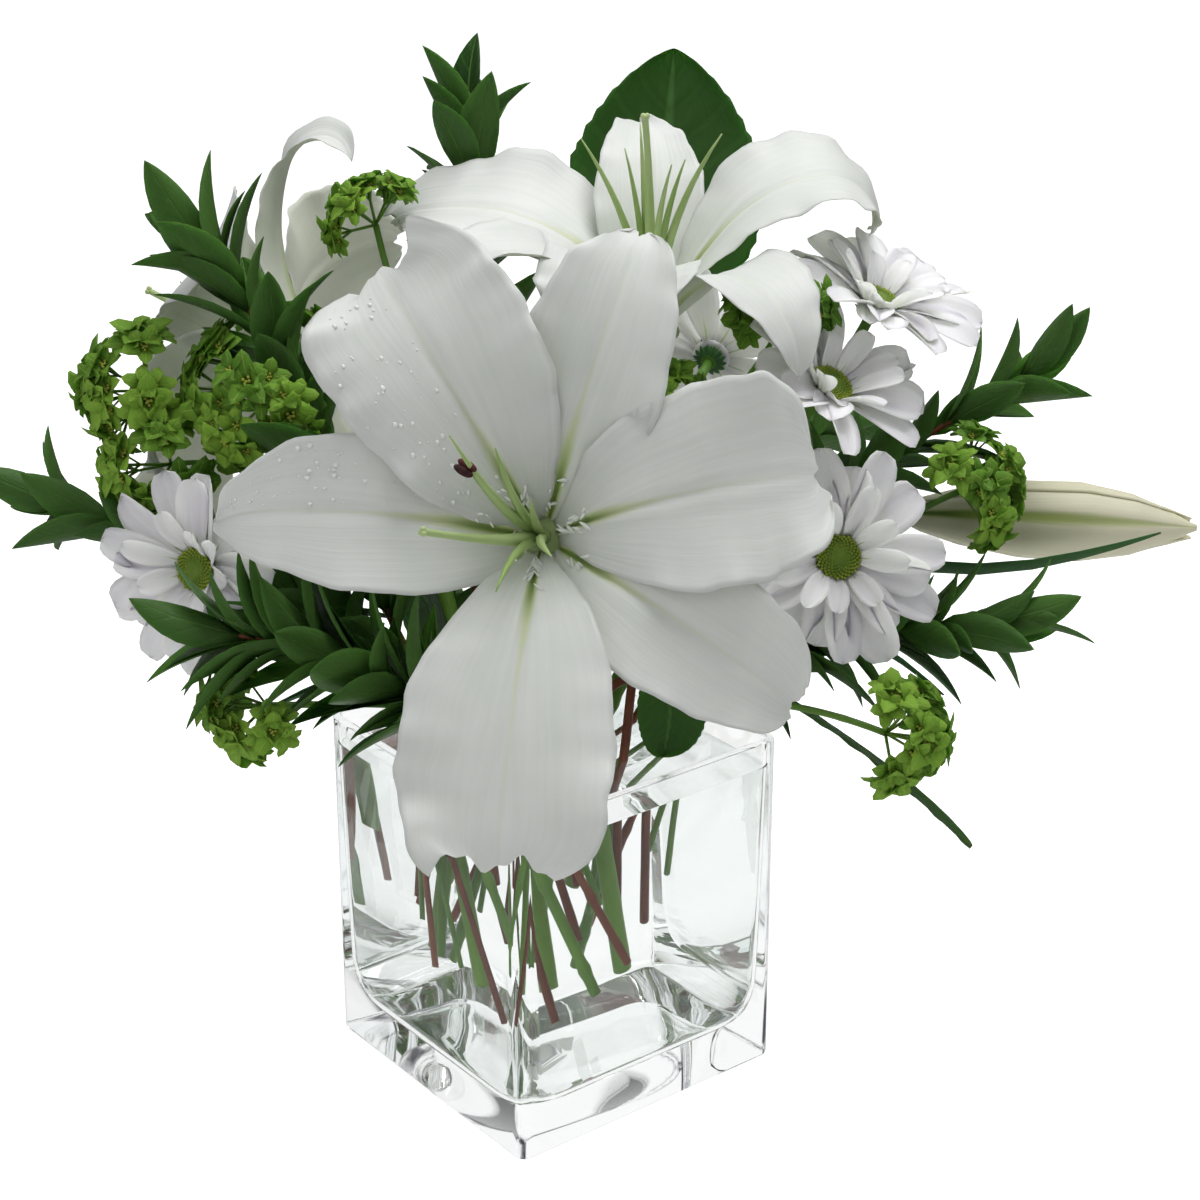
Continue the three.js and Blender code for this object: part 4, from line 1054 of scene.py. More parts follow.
# %% Model the water
def model_water():
    thing = block(VASE_SIDE - 2 * WALL, WATER_LEVEL)
    thing.name = "clear_water"
    form = select_cap(thing, max)
    top = [v for v in form.verts if v.co.z > WATER_LEVEL / 2 * MM]
    bottom = [v for v in form.verts if v.co.z < WATER_LEVEL / 2 * MM]
    inside = VASE_SIDE / 2 - WALL + WATER_REACH
    added, corner, height = HOLLOW[1]
    ring_to_square(top, inside, WATER_CORNER, WATER_LEVEL)
    ring_to_square(bottom, inside - added, corner, height)
    bmesh.update_edit_mesh(thing.data)
    select_cap(thing, min)
    extrude_hollow(thing, HOLLOW[2:], WATER_REACH)
    bpy.ops.mesh.select_all(action="SELECT")
    bpy.ops.mesh.normals_make_consistent(inside=False)
    bpy.ops.object.mode_set(mode="OBJECT")
    smooth_clear(thing, WATER)
    return thing


clear_water = model_water()
finish_piece(glass_vase, "vase")
finish_piece(clear_water, "water")

# %% [markdown]
# ## Stems
#
# The stems cross in the water as a hand-tied bunch does: each runs straight from its cut end to
# the mouth on one shared spiral, and from there in a curve to its head. A stem's slot is its
# place in the mouth, as a distance from the middle and a turn in degrees.

# %% The ways of the stems
MOUTH_LEVEL = 124.0
STEM_TWIST = math.radians(75)
STEM_TAPER = 1.18
LOWEST_CUT = 18.0
STRAIGHT_ROWS = 20
CURVE_ROWS = 40


def around(point, angle):
    cos, sin = math.cos(angle), math.sin(angle)
    return np.array((point[0] * cos - point[1] * sin, point[0] * sin + point[1] * cos, point[2]))


def mouth_point(slot):
    return around((slot[0], 0, MOUTH_LEVEL), math.radians(slot[1]))


def bundle_point(slot, level):
    """Where a stem passes a level in the water."""
    mouth = mouth_point(slot)
    floor = around(mouth, STEM_TWIST) * STEM_TAPER
    share = (MOUTH_LEVEL - level) / (MOUTH_LEVEL - LOWEST_CUT)
    point = mouth + (floor - mouth) * share
    return np.array((point[0], point[1], level))


def upper_handles(stem):
    """The four handles of a stem's curve, from the mouth to its head."""
    foot = bundle_point(stem["slot"], stem["cut"])
    mouth = mouth_point(stem["slot"])
    head = front(stem["head"])
    away = unit(mouth - foot)
    arrive = unit(front(stem["arrive"]))
    reach = stem.get("reach", 35)
    return mouth, mouth + away * stem.get("leave", 35), head - arrive * reach, head


def whole_path(stem):
    foot = bundle_point(stem["slot"], stem["cut"])
    handles = upper_handles(stem)
    steps = np.linspace(0, 1, STRAIGHT_ROWS, endpoint=False)[:, None]
    return np.concatenate((foot + (handles[0] - foot) * steps, bezier(handles, CURVE_ROWS)))


print("a stem's place in the mouth and in the water:", mouth_point((27, 6)).round(1),
      bundle_point((27, 6), 30).round(1))


# %% [markdown]
# A branch leaves its stem along the stem and arrives at its head along the head's axis. The
# stems aren't even rods: each swells a little at its joints, where leaves once stood.

# %% Branches and joints
JOINT_ROWS = 121
JOINT_LENGTH = 0.006  # of the stem's
TOP_THINNING = 0.12


def branch_path(handles, share, head, arrive, reach):
    """From a share of the stem's way to a head of its own."""
    start, way = point_on(handles, share)
    end = front(head)
    return bezier((start, start + unit(way) * reach, end - unit(front(arrive)) * reach, end), 20)


def jointed(radius, joints, swell, seed):
    """A stem's radii: nearly even, with a slight swelling at each joint, thinner at the top."""
    draw = Draw(seed)
    t = np.linspace(0, 1, JOINT_ROWS)
    radii = radius * (1.0 - TOP_THINNING * t)
    for i in range(joints):
        middle = (i + 0.5 + draw.spread(0.25)) / joints
        radii = radii + radius * swell * np.exp(-(((t - middle) / JOINT_LENGTH) ** 2))
    return radii


print("thickest and thinnest of a daisy's stem:", jointed(2.2, 7, 0.3, 3).max().round(2),
      jointed(2.2, 7, 0.3, 3).min().round(2))


# %% [markdown]
# ## Lilies
#
# A lily has six tepals in two layers: three broad inner petals with ruffled edges, and three
# narrower outer sepals behind them. Each has a groove along its middle between two soft
# shoulders. The ruffles are sums of a few waves of different lengths: a single wave would look
# like a pie's edge, and noise would break the groove.

# %% How a tepal is grooved, dented and ragged
def grooved(depth, narrow, ruffle, phase):
    """A groove along the middle between two soft shoulders, and an edge that ruffles freely."""

    def relief(x, s):
        groove = -depth * np.exp(-((x / narrow) ** 2)) * (1 - s) ** 0.6
        shoulder = 0.6 * depth * np.exp(-(((np.abs(x) - 3 * narrow) / (2 * narrow)) ** 2)) * (1 - s)
        side = phase + 1.9 * np.sign(x)
        waves = 0.8 * np.sin(13 * s + side) + 0.8 * np.sin(27 * s + 2.3 * side)
        waves = waves + 0.4 * np.sin(58 * s + side)
        fold = 0.7 * np.sin(5 * s + 3.4 * x + phase) * np.abs(x)
        return groove + shoulder + ruffle * (np.abs(x) ** 3 * waves + fold) * s**0.6

    return relief


def dented(phase):
    """An outline whose edge runs in and out a little."""

    def edge(x, s):
        side = phase + 2.4 * np.sign(x)
        dents = 0.04 * np.sin(11 * s + side) + 0.03 * np.sin(29 * s + 2 * side)
        return 1 + (dents + 0.012 * np.sin(67 * s + side)) * s

    return edge


def ragged(depth, phase):
    """A tip that ends in uneven waves, up to this share of the length short."""

    def short(x):
        return depth * (0.5 + 0.35 * np.sin(6 * x + phase) + 0.15 * np.sin(15 * x + 2 * phase))

    return short


x_edge, s_half = np.array([0.0, 0.9]), np.array([0.5, 0.5])
print("groove and edge, in mm:", grooved(1.7, 0.04, 1.9, 264)(x_edge, s_half).round(2))

# %% [markdown]
# Each tepal is described by its turn round the lily's axis, its length and width, and the angles
# by which it leans away from the axis on its way. These are read from the photograph. What all
# petals or all sepals share is given once, and a tepal may change any of it.

# %% The three lilies
PETAL = dict(root=5.5, lift=0.5, neck=4.6, rise=0.95, fall=0.55, bowl=0.16, waves=2.2, thick=1.0)
SEPAL = dict(root=5.6, lift=-2.2, neck=4, rise=0.75, fall=0.95, bowl=0.2, waves=1.5, thick=1.0)


def tepal(kind, turn, length, width, angles):
    return dict(kind, turn=turn, length=length, width=width, angles=angles, edge=dented(turn))


def petal(turn, length, width, angles, **more):
    own = dict(relief=grooved(1.7, 0.04, 1.9, turn), ragged=ragged(0.05, turn), tip=0.99, curl=30)
    return {**tepal(PETAL, turn, length, width, angles), **own, "hairs": 20, **more}


def sepal(turn, length, width, angles, **more):
    own = dict(relief=grooved(1.2, 0.07, 1.1, turn), hairs=6)
    return {**tepal(SEPAL, turn, length, width, angles), **own, **more}


LILIES = [
    dict(
        name="lily_front", at=(-2, 185, 112), axis=(-0.05, 0.08, 1), zero=(1, 0, 0),
        tepals=[
            sepal(174, 126, 52, (30, 62, 94, 160), swing=12),
            sepal(327, 112, 50, (30, 64, 94, 122), swing=-4, rise=0.7, fall=0.55, tip=0.98,
                  ragged=ragged(0.03, 1), curl=20),
            sepal(70, 119, 50, (30, 62, 90, 132), swing=2, fall=0.75, tip=0.98,
                  ragged=ragged(0.06, 2), curl=45),
            petal(121, 117, 70, (24, 58, 92, 130), rise=0.85, fall=0.45, ripple=3, tip=0.97,
                  ragged=ragged(0.09, 5), relief=grooved(1.7, 0.04, 2.6, 113), curl=20),
            petal(264, 127, 70, (24, 60, 84, 96), fall=0.4, ripple=3, curl=40, tip=0.97,
                  ragged=ragged(0.08, 4)),
            petal(13, 106, 68, (24, 62, 92, 128), swing=-6, fall=0.46, ripple=3),
        ],
        filaments=[(141, 25, 47), (134, 35, 64), (116, 25, 54),
                   (245, 25, 54), (95, 8, 40), (300, 13, 50)],
        style=(188, 33, 62), wet=((0, 1), (3, -1)),
        stem=dict(slot=(14, 250), cut=40, reach=45, leave=20),
        leaves=[
            dict(share=0.3, way=(-1, -0.1, 0.1), length=105, angles=(50, 85, 100, 110)),
            dict(share=0.5, way=(1, -0.3, -0.1), length=150, angles=(60, 90, 120, 134), width=12),
        ],
    ),
    dict(
        name="lily_back", at=(35, 265, 32), axis=(0.05, 0.9, 0.42), zero=(1, 0, 0),
        tepals=[
            sepal(94, 101, 40, (20, 32, 62, 110)),
            sepal(208, 108, 48, (30, 58, 90, 120)),
            sepal(306, 104, 50, (30, 54, 104, 180), swing=6),
            petal(16, 120, 52, (24, 40, 84, 186), swing=4, twist=20),
            petal(164, 112, 66, (26, 62, 94, 114), twist=-26, ripple=4, rise=0.8, fall=0.8),
            petal(254, 90, 54, (24, 50, 98, 150), ripple=3),
        ],
        filaments=[(175, 28, 66), (150, 14, 62), (120, 14, 70),
                   (20, 10, 60), (8, 22, 70), (290, 12, 62)],
        style=(190, 6, 76),
        stem=dict(slot=(27, 66), cut=42, reach=35, leave=35),
        leaves=[
            dict(share=0.35, way=(-0.3, 0.2, -1), length=85, angles=(35, 60, 95, 120)),
            dict(share=0.55, way=(0.3, 0.1, -1), length=75, angles=(35, 60, 100, 120)),
        ],
    ),
    dict(
        name="lily_left", at=(-90, 254, 4), axis=(-0.85, 0.32, -0.42), zero=(0, 1, 0),
        tepals=[
            sepal(0, 112, 38, (28, 58, 92, 236), twist=45),
            sepal(118, 108, 46, (30, 62, 96, 150)),
            sepal(236, 100, 44, (30, 64, 104, 165)),
            petal(58, 108, 64, (24, 56, 92, 130), ripple=4),
            petal(178, 106, 62, (24, 58, 92, 136), ripple=4),
            petal(298, 88, 58, (24, 62, 108, 170), ripple=3),
        ],
        filaments=[(10, 16, 60), (70, 20, 62), (130, 18, 60),
                   (190, 20, 62), (250, 16, 58), (320, 16, 60)],
        style=(300, 10, 74),
        stem=dict(slot=(27, 146), cut=44, reach=40, leave=35),
        leaves=[dict(share=0.35, way=(0.2, 0.1, -1), length=90, angles=(35, 70, 100, 120))],
    ),
]
print("tepals:", sum(len(lily["tepals"]) for lily in LILIES))

# %% [markdown]
# ## The lily's heart
#
# Six filaments and a thicker style with a three-lobed tip rise from the throat. The florist has
# pulled off the pollen, and only one dark anther is left. Where the petals leave the throat,
# small fleshy hairs, the papillae, fringe the groove. Two tepals of the front lily are wet: half
# of each carries dew. Hairs and drops are rods and balls of a few faces, laid on the surface by
# the same functions that bend the tepal, so they sit on it wherever it curls.

# %% Filaments, hairs and dew
KNOB_TOP = 5.0
SWERVE = 0.16  # of a filament's way out
SWERVE_TURN = 210  # filaments bend away from this turn
HAIR_RADII = (0.75, 0.6, 0.15)
DROPS = 70  # on a wet tepal


def stamen_path(seat, stamen, swerve=SWERVE):
    """A filament is given by its turn, how far out it ends, and how high up."""
    turn, out, up = stamen

    def place(share, height):
        return seat["at"] + seat["along"] * height + outward(seat, turn) * share * out

    a, b, c = place(0.07, KNOB_TOP), place(0.25, up * 0.6), place(1, up)
    b = b + outward(seat, turn + 90) * math.copysign(swerve * out, SWERVE_TURN - turn)
    return bezier((a, a + (b - a) * 2 / 3, c + (b - c) * 2 / 3, c), 24)


def add_papillae(pile, seat, blade, draw):
    """Small fleshy hairs that fringe the groove where the petal leaves the throat."""
    spine = spine_of(seat, blade)
    for _ in range(blade["hairs"]):
        s = np.array([0.07 + 0.13 * draw.number()])
        side = math.copysign(1, draw.spread(1))
        x = np.array([side * (0.1 + 0.16 * draw.number())])
        point, face = surface(spine, blade, x, s)
        lean = unit(face[0] * 0.8 - side * spine[2][10] * (0.5 + 0.4 * draw.spread(1)))
        tall = 2.2 + 2.2 * draw.number()
        path = point[0] + lean * np.linspace(-0.5, tall, 5)[:, None]
        lay_rod(pile, HAIR_ROD, path, HAIR_RADII, 0.9, 2)


def add_dew(pile, seat, blade, side, draw):
    """Small drops on one half of a tepal."""
    spine = spine_of(seat, blade)
    for _ in range(DROPS):
        s = np.array([0.2 + 0.7 * draw.number()])
        x = np.array([side * (0.08 + 0.8 * draw.number())])
        point, face = surface(spine, blade, x, s)
        size = 0.35 + 0.6 * draw.number() ** 2
        facing = seat_at(point[0], face[0], spine[0][-1] - spine[0][0])
        place = point[0] + face[0] * (0.45 * blade["thick"])
        lay_ball(pile, SMALL_BALL, place, (size * 1.4, size, size * 0.5), facing, 0.5, 3)


print("faces of the drops on one tepal:", DROPS * len(SMALL_BALL.sizes))


# %% Make the lilies
TEPAL_HUB = ((0.7, (8, 8, 3.2), 0.6), (3.2, (11.5, 11.5, 4), 0.3))  # balls: below, radii, shade
KNOB_RADII = (3.2, 3.2, 4)
FILAMENT_RADII = (2.1, 1.8, 1.4, 0.95, 0.25)
STYLE_RADII = (3.0, 2.5, 2.1, 1.7, 1.4, 1.2, 1.2)
STYLE_LOBES = (0, 120, 240)


def make_tepals(lily, seat, draw, seed):
    pile = Pile()
    for below, radii, shade in TEPAL_HUB:
        lay_ball(pile, ROUND_BALL, seat["at"] - seat["along"] * below, radii, seat, shade, 1)
    for blade in lily["tepals"]:
        lay_blade(pile, PETAL_STRIP, seat, blade, 0.5 + draw.spread(0.18))
        add_papillae(pile, seat, blade, draw)
    for number, side in lily.get("wet", ()):
        add_dew(pile, seat, lily["tepals"][number], side, Draw(seed + 10 * number))
    materials = [LILY_WHITE, THROAT_GREEN, PAPILLA_WHITE, DEW]
    thing = pile.make(lily["name"] + "_tepals", materials)
    finish_piece(thing, lily["name"] + "_petals")


def make_heart(lily, seat, draw):
    pile = Pile()
    lay_ball(pile, ROUND_BALL, seat["at"] + seat["along"] * 4, KNOB_RADII, seat, 0.3)
    for stamen in lily["filaments"]:
        path = stamen_path(seat, stamen)
        lay_rod(pile, THIN_ROD, path, FILAMENT_RADII, 0.35 + draw.spread(0.2))
    path = stamen_path(seat, lily["style"])
    lay_rod(pile, STEM_ROD, path, STYLE_RADII, 0.45)
    tip, way = path[-1], unit(path[-1] - path[-2])
    knob = seat_at(tip, way, UP)
    for turn in STYLE_LOBES:
        lay_ball(pile, ROUND_BALL, tip + outward(knob, turn) * 0.8, (1.0, 1.0, 1.1), knob, 0.6)
    thing = pile.make(lily["name"] + "_filaments_and_style", [THROAT_GREEN])
    finish_piece(thing, lily["name"] + "_stamens")


for seed, lily in enumerate(LILIES, start=41):
    seat = front_seat(lily["at"], lily["axis"], lily["zero"])
    draw = Draw(seed)
    make_tepals(lily, seat, draw, seed)
    make_heart(lily, seat, draw)


# %% [markdown]
# ## The last anther
#
# A dark anther of two lobes lies across the end of the front lily's first filament. Two long
# balls side by side give it its furrow.

# %% Make the anther
ANTHER_STANDOFF = 2.5  # beyond the filament's end
ANTHER_LIFT = 1.6  # towards the viewer
ANTHER_LOBE = (2.3, 1.5, 4.8)


def make_anther(lily):
    lily_seat = front_seat(lily["at"], lily["axis"], lily["zero"])
    path = stamen_path(lily_seat, lily["filaments"][0], 0)
    along = unit(path[-1] - path[-2])
    across = unit(np.cross(along, UP))
    seat = seat_at(path[-1] + along * ANTHER_STANDOFF + TOWARD * ANTHER_LIFT, across, along)
    pile = Pile()
    for side in (-1, 1):
        shift = seat["second"] * side * 1.1
        lay_ball(pile, ROUND_BALL, seat["at"] + shift, ANTHER_LOBE, seat, 0.5 + 0.3 * side)
    finish_piece(pile.make("dark_anther", [ANTHER_RED]), "lily_front_anther")


make_anther(LILIES[0])

# %% [markdown]
# ## Lily stems
#
# Thick green stems with a few long narrow leaves. A leaf takes the turn at which its solid
# stands, and the stem's cut end shows pale pith.


# %% Lily stems and their long leaves
PEDICEL_END = 4.3
LILY_STEM_RADIUS = 3.8
LONG_LEAF_TURNS = (0, -15, 15, -30, 30, -50, 50)


def long_leaf_relief(x, s):
    return -0.5 * np.exp(-((x / 0.12) ** 2))


LONG_LEAF = dict(
    neck=1.6, rise=0.5, fall=0.8, bowl=0.3, width=15, thick=0.8, relief=long_leaf_relief
)


def long_leaf(pile, node, handles, leaf, shade):
    at, way = point_on(handles, leaf["share"])
    seat = seat_at(at, unit(way), front(leaf["way"]))
    blade = {key: leaf[key] for key in leaf if key not in ("share", "way")}
    choices = [(seat, dict(LONG_LEAF, **blade, turn=turn)) for turn in LONG_LEAF_TURNS]
    found = find_bend(node, choices)
    if found:
        lay_blade(pile, LEAF_STRIP, *found, shade, 1)


def make_lily_stem(node, stem, radius, leaves, seed):
    pile = Pile()
    path = whole_path(stem)
    lay_rod(pile, STEM_ROD, path, jointed(radius, 9, 0.1, seed), 0.6)
    lay_cut_end(pile, path, radius, 2)
    for i, leaf in enumerate(leaves):
        long_leaf(pile, node, upper_handles(stem), leaf, 0.3 + 0.3 * i)
    thing = pile.make(node.replace("stem", "stalk"), [STEM_GREEN, LILY_GREEN, CUT_PALE])
    finish_piece(thing, node)


for number, lily in enumerate(LILIES):
    head = behind(lily["at"], lily["axis"], PEDICEL_END)
    whole = dict(lily["stem"], head=head, arrive=lily["axis"])
    make_lily_stem(lily["name"] + "_stem", whole, LILY_STEM_RADIUS, lily["leaves"], number)

# %% [markdown]
# ## The bud
#
# A long closed bud. Three sepals wrap a slender core, each with one edge over and one edge
# under its neighbour, which leaves three seams, and their tips stand a little apart. The same
# petal strip is used, wrapped round the bud's axis.

# %% Make the bud
BUD_AT = (127, 196, 20)
BUD_TIP = (240, 191, 0)
BUD_WAY = (1, -0.04, -0.18)
BUD_RADIUS = 17.0
BUD_FIT = 0.95  # of the solid's radius
BUD_SHARES = (0, 0.06, 0.2, 0.4, 0.6, 0.78, 0.92, 1)
BUD_PROFILE = (0.2, 0.42, 0.72, 0.96, 1, 0.78, 0.4, 0.12)
SEPAL_TURNS = (65, 185, 305)
SEPAL_SPREAD = 74.0  # degrees to each side of a sepal's rib
SEPAL_THICKNESS = 0.6
RIB_DEPTH = 0.7
CORE_SHARE = 0.86
TIP_FROM = 0.8
TIP_OPENING = 2.6


def bud_radius(t):
    return BUD_RADIUS * BUD_FIT * np.interp(t, BUD_SHARES, BUD_PROFILE)


def wrap_sepal(base, tip, seat, turn):
    """The petal strip's points, wrapped round the bud's axis."""
    x, t, through = PETAL_STRIP.points.T
    angle = turn + x * SEPAL_SPREAD * (1 - 0.4 * t**8)
    radius = bud_radius(t) * (0.93 + 0.05 * x - 0.06 * x * x) + SEPAL_THICKNESS * through
    radius = radius - RIB_DEPTH * np.exp(-((x / 0.1) ** 2)) * np.sin(np.pi * t)
    opening = TIP_OPENING * np.maximum(0, (t - TIP_FROM) / (1 - TIP_FROM)) ** 2
    points = base + (tip - base) * (0.01 + 0.985 * t)[:, None]
    points = points + outward(seat, angle) * np.maximum(radius, 0.3)[:, None]
    return points + outward(seat, turn) * opening[:, None]


def make_bud():
    base, tip = front(BUD_AT), front(BUD_TIP)
    seat = seat_at(base, unit(tip - base), UP)
    pile = Pile()
    core = base + (tip - base) * np.linspace(0.02, 0.97, 30)[:, None]
    lay_rod(pile, STEM_ROD, core, CORE_SHARE * bud_radius(np.linspace(0.02, 0.97, 20)), 0.7)
    for turn in SEPAL_TURNS:
        pile.add(PETAL_STRIP, wrap_sepal(base, tip, seat, turn), 0.5 + 0.1 * math.sin(turn))
    finish_piece(pile.make("closed_bud", [BUD_CREAM]), "lily_bud")


make_bud()

# %% The bud's stem
BUD_STEM = dict(
    slot=(40, 22), cut=58, reach=50, leave=35, head=behind(BUD_AT, BUD_WAY, 0.3), arrive=BUD_WAY
)
BUD_STEM_RADIUS = 3.4
BUD_LEAVES = [
    dict(share=0.97, way=(0, -1, 0.4), length=50, angles=(30, 20, 2, -8), width=10),
    dict(share=0.72, way=(0, -1, 0.3), length=138, angles=(50, 32, 12, 2), width=12),
]
make_lily_stem("lily_bud_stem", BUD_STEM, BUD_STEM_RADIUS, BUD_LEAVES, 7)

# %% [markdown]
# ## Daisies
#
# Spray daisies: blunt white rays with two grooves each, round a disc of tiny florets. The solids
# have two layers of rays. A third ring of short ones, which stand up round the disc, is added
# here. Each ray is rolled and widened by an amount of its own, because rays that are all alike
# look like a toy's.

# %% The daisies
RAY_LAYERS = [
    dict(count=11, reach=33, lean=0, lift=-0.2, width=12),
    dict(count=8, reach=28, lean=-16, lift=0.5, width=11),
]
GROOVE_AT = 0.35  # of the ray's half width


def ray_relief(x, s):
    grooves = np.exp(-(((np.abs(x) - GROOVE_AT) / 0.12) ** 2))
    return -0.5 * grooves * np.minimum(1, 3 * s)


def notched(number):
    """A blunt tip with two shallow notches, no two alike."""

    def edge(x, s):
        teeth = 0.05 * np.cos(2 * np.pi * 1.5 * x + number) * np.maximum(0, s - 0.8) / 0.2
        return 1 + teeth + 0.05 * np.sin(7 * s + number + np.sign(x)) * s

    return edge


RAY = dict(root=5.6, rise=0.6, fall=0.35, neck=1.6, bowl=0.3, thick=0.7, relief=ray_relief)
DAISIES = [
    dict(name="daisy_low_right", at=(99, 179, 80), axis=(0.08, -0.02, 1), open=84),
    dict(name="daisy_mid_right", at=(97, 238, 66), axis=(0.45, 0.6, 0.66), open=76),
    dict(name="daisy_top_right", at=(116, 270, 44), axis=(0.35, 0.78, 0.5), open=78),
    dict(name="daisy_left", at=(-121, 175, 76), axis=(-0.5, -0.15, 0.83), open=78),
    dict(name="daisy_back", at=(62, 262, -70), axis=(0.3, 0.6, -0.75), open=80, fewer=3),
    dict(name="daisy_back_left", at=(-36, 214, -78), axis=(-0.35, 0.4, -0.85), open=82, fewer=3),
]
counts = [layer["count"] - daisy.get("fewer", 0) for daisy in DAISIES for layer in RAY_LAYERS]
print("flowers and their rays in the solids:", len(DAISIES), sum(counts))

# %% Rays
HUB_RADII = (7.6, 7.6, 1.5)
RAY_BENDS = (0, -14, 14, -28)  # degrees
INNER_RAYS = 9  # short ones round the disc
INNER_WIDTH = 8.5
INNER_LENGTH = 19
INNER_LEAN = -32


def daisy_seat(daisy):
    return front_seat(daisy["at"], daisy["axis"], (1, 0.2, 0))


def lay_ray(pile, seat, daisy, layer, ray, turn, draw, index):
    """A ray on its own solid, rolled and widened by its own amounts."""
    lean = daisy["open"] + layer["lean"] + draw.spread(6)
    length = layer["reach"] * (1 + draw.spread(0.08))
    width = layer["width"] + draw.spread(1)
    choices = [
        (seat, dict(RAY, lift=layer["lift"], turn=turn, length=length, width=width,
                    angles=(lean - 14 + more / 2, lean + more, lean + 12 + more)))
        for more in RAY_BENDS
    ]
    found = find_bend(daisy["name"], choices)
    if found:
        roll = 26 * math.sin(3.7 * ray + index + layer["lift"])
        wide = width * (1.28 + 0.16 * math.sin(2.9 * ray + index))
        full = {**found[1], "width": wide, "twist": roll, "edge": notched(ray)}
        lay_blade(pile, RAY_STRIP, seat, full, 0.5 + 0.3 * math.sin(ray * 2.3))


def inner_ray(daisy, ray, index):
    lean = daisy["open"] + INNER_LEAN + 9 * math.sin(2.1 * ray + index)
    turn = (ray + 0.5) * 360 / INNER_RAYS + 7 * math.sin(5 * ray)
    return dict(
        RAY, lift=1.0, root=6.6, turn=turn, width=INNER_WIDTH, edge=notched(ray),
        length=INNER_LENGTH + 4 * math.sin(1.7 * ray + index), twist=20 * math.sin(4.1 * ray),
        angles=(lean - 12, lean, lean + 16)
    )


def make_daisy(daisy, index):
    seat = daisy_seat(daisy)
    draw = Draw(11 + index)
    pile = Pile()
    lay_ball(pile, ROUND_BALL, seat["at"], HUB_RADII, seat, 0.4)
    for layer in RAY_LAYERS:
        count = layer["count"] - daisy.get("fewer", 0)
        for ray in range(count):
            turn = (ray + layer["lift"]) * 360 / count + draw.spread(5)
            lay_ray(pile, seat, daisy, layer, ray, turn, draw, index)
    for ray in range(INNER_RAYS):
        blade = inner_ray(daisy, ray, index)
        lay_blade(pile, RAY_STRIP, seat, blade, 0.6 + 0.3 * math.sin(ray * 1.9))
    finish_piece(pile.make(daisy["name"] + "_rays", [DAISY_WHITE]), daisy["name"])


print("length and width of a ray:", RAY_LAYERS[0]["reach"], RAY_LAYERS[0]["width"])

# %% [markdown]
# ## The daisies' discs
#
# The florets sit on the spiral that real ones follow, each turned by 137.5 degrees from the
# last. Each is a ball of few faces. A smooth dome under them fills the gaps.

# %% Discs
GOLDEN_TURN = 137.5
FLORETS = 150
DISC_RADIUS = 7.6
DOME_AT = 2.6
DOME_RADII = (7.4, 7.4, 1.8)


def make_disc(daisy):
    """A low dome of florets: open and pale at its edge, tight and dark in its middle."""
    seat = daisy_seat(daisy)
    pile = Pile()
    dome = seat["at"] + seat["along"] * DOME_AT
    lay_ball(pile, ROUND_BALL, dome, DOME_RADII, seat, 0.1)
    for i in range(FLORETS):
        share = math.sqrt((i + 0.5) / FLORETS)
        out = outward(seat, i * GOLDEN_TURN) * DISC_RADIUS * share
        height = 2.0 * math.sqrt(max(0, 1 - 0.7 * share**2)) - 0.7 * math.exp(-((share / 0.3) ** 2))
        size = 0.42 + 0.22 * share
        place = dome + out + seat["along"] * height * 0.75
        lay_ball(pile, SMALL_BALL, place, (size, size, size * 1.5), seat, 0.15 + 0.75 * share**2)
    node = daisy["name"] + "_disc"
    finish_piece(pile.make(node + "_florets", [DISC_GREEN]), node)


for index, daisy in enumerate(DAISIES):
    make_daisy(daisy, index)
    make_disc(daisy)

# %% [markdown]
# ## The daisies' stems
#
# A stem ends in one flower, and up to two more stand on its branches. Behind each flower a cup
# of small green scales, in two rows, joins the rays to the stem.

# %% Cups
CUP_SCALE = dict(
    root=1.2, lift=-5.6, width=2.6, rise=0.5, fall=0.6, bowl=0.2, neck=0.6, thick=0.4
)
CUP_ROWS = ((6.4, 48), (6.8, 62))  # a scale's length and lean
CUP_COUNT = 14
CUP_BACK = 3.4
CUP_RADII = (4.2, 4.2, 2.4)


def add_cup(pile, seat):
    """Two rows of narrow green scales that clasp the flower from behind."""
    lay_ball(pile, ROUND_BALL, seat["at"] - seat["along"] * CUP_BACK, CUP_RADII, seat, 0.4)
    for row, (reach, lean) in enumerate(CUP_ROWS):
        for i in range(CUP_COUNT):
            turn = (i + row / 2) * 360 / CUP_COUNT
            scale = dict(CUP_SCALE, turn=turn, length=reach, angles=(lean + 12, lean, lean - 10))
            lay_blade(pile, BRACT_STRIP, seat, scale, 0.5 + 0.2 * row, 1)


print("scales behind a daisy:", len(CUP_ROWS) * CUP_COUNT)

# %% The daisies' stems
# the name, the flowers with the share of the way where each branches off, and the stem's course
DAISY_STEMS = [
    ("daisy_stem_right", [(2, None), (1, 0.6), (0, 0.4)],
     dict(slot=(27, 6), cut=30, leave=40, reach=30)),
    ("daisy_stem_left", [(3, None)], dict(slot=(40, 188), cut=46, leave=25, reach=55)),
    ("daisy_stem_back", [(4, None), (5, 0.45)], dict(slot=(27, 90), cut=44, leave=45, reach=40)),
]
CALYX_FOOT = 5
DAISY_STEM_RADIUS = 2.2
DAISY_BRANCH_RADII = (1.7, 1.5, 1.4, 1.5)
DAISY_BRANCH_REACH = 28


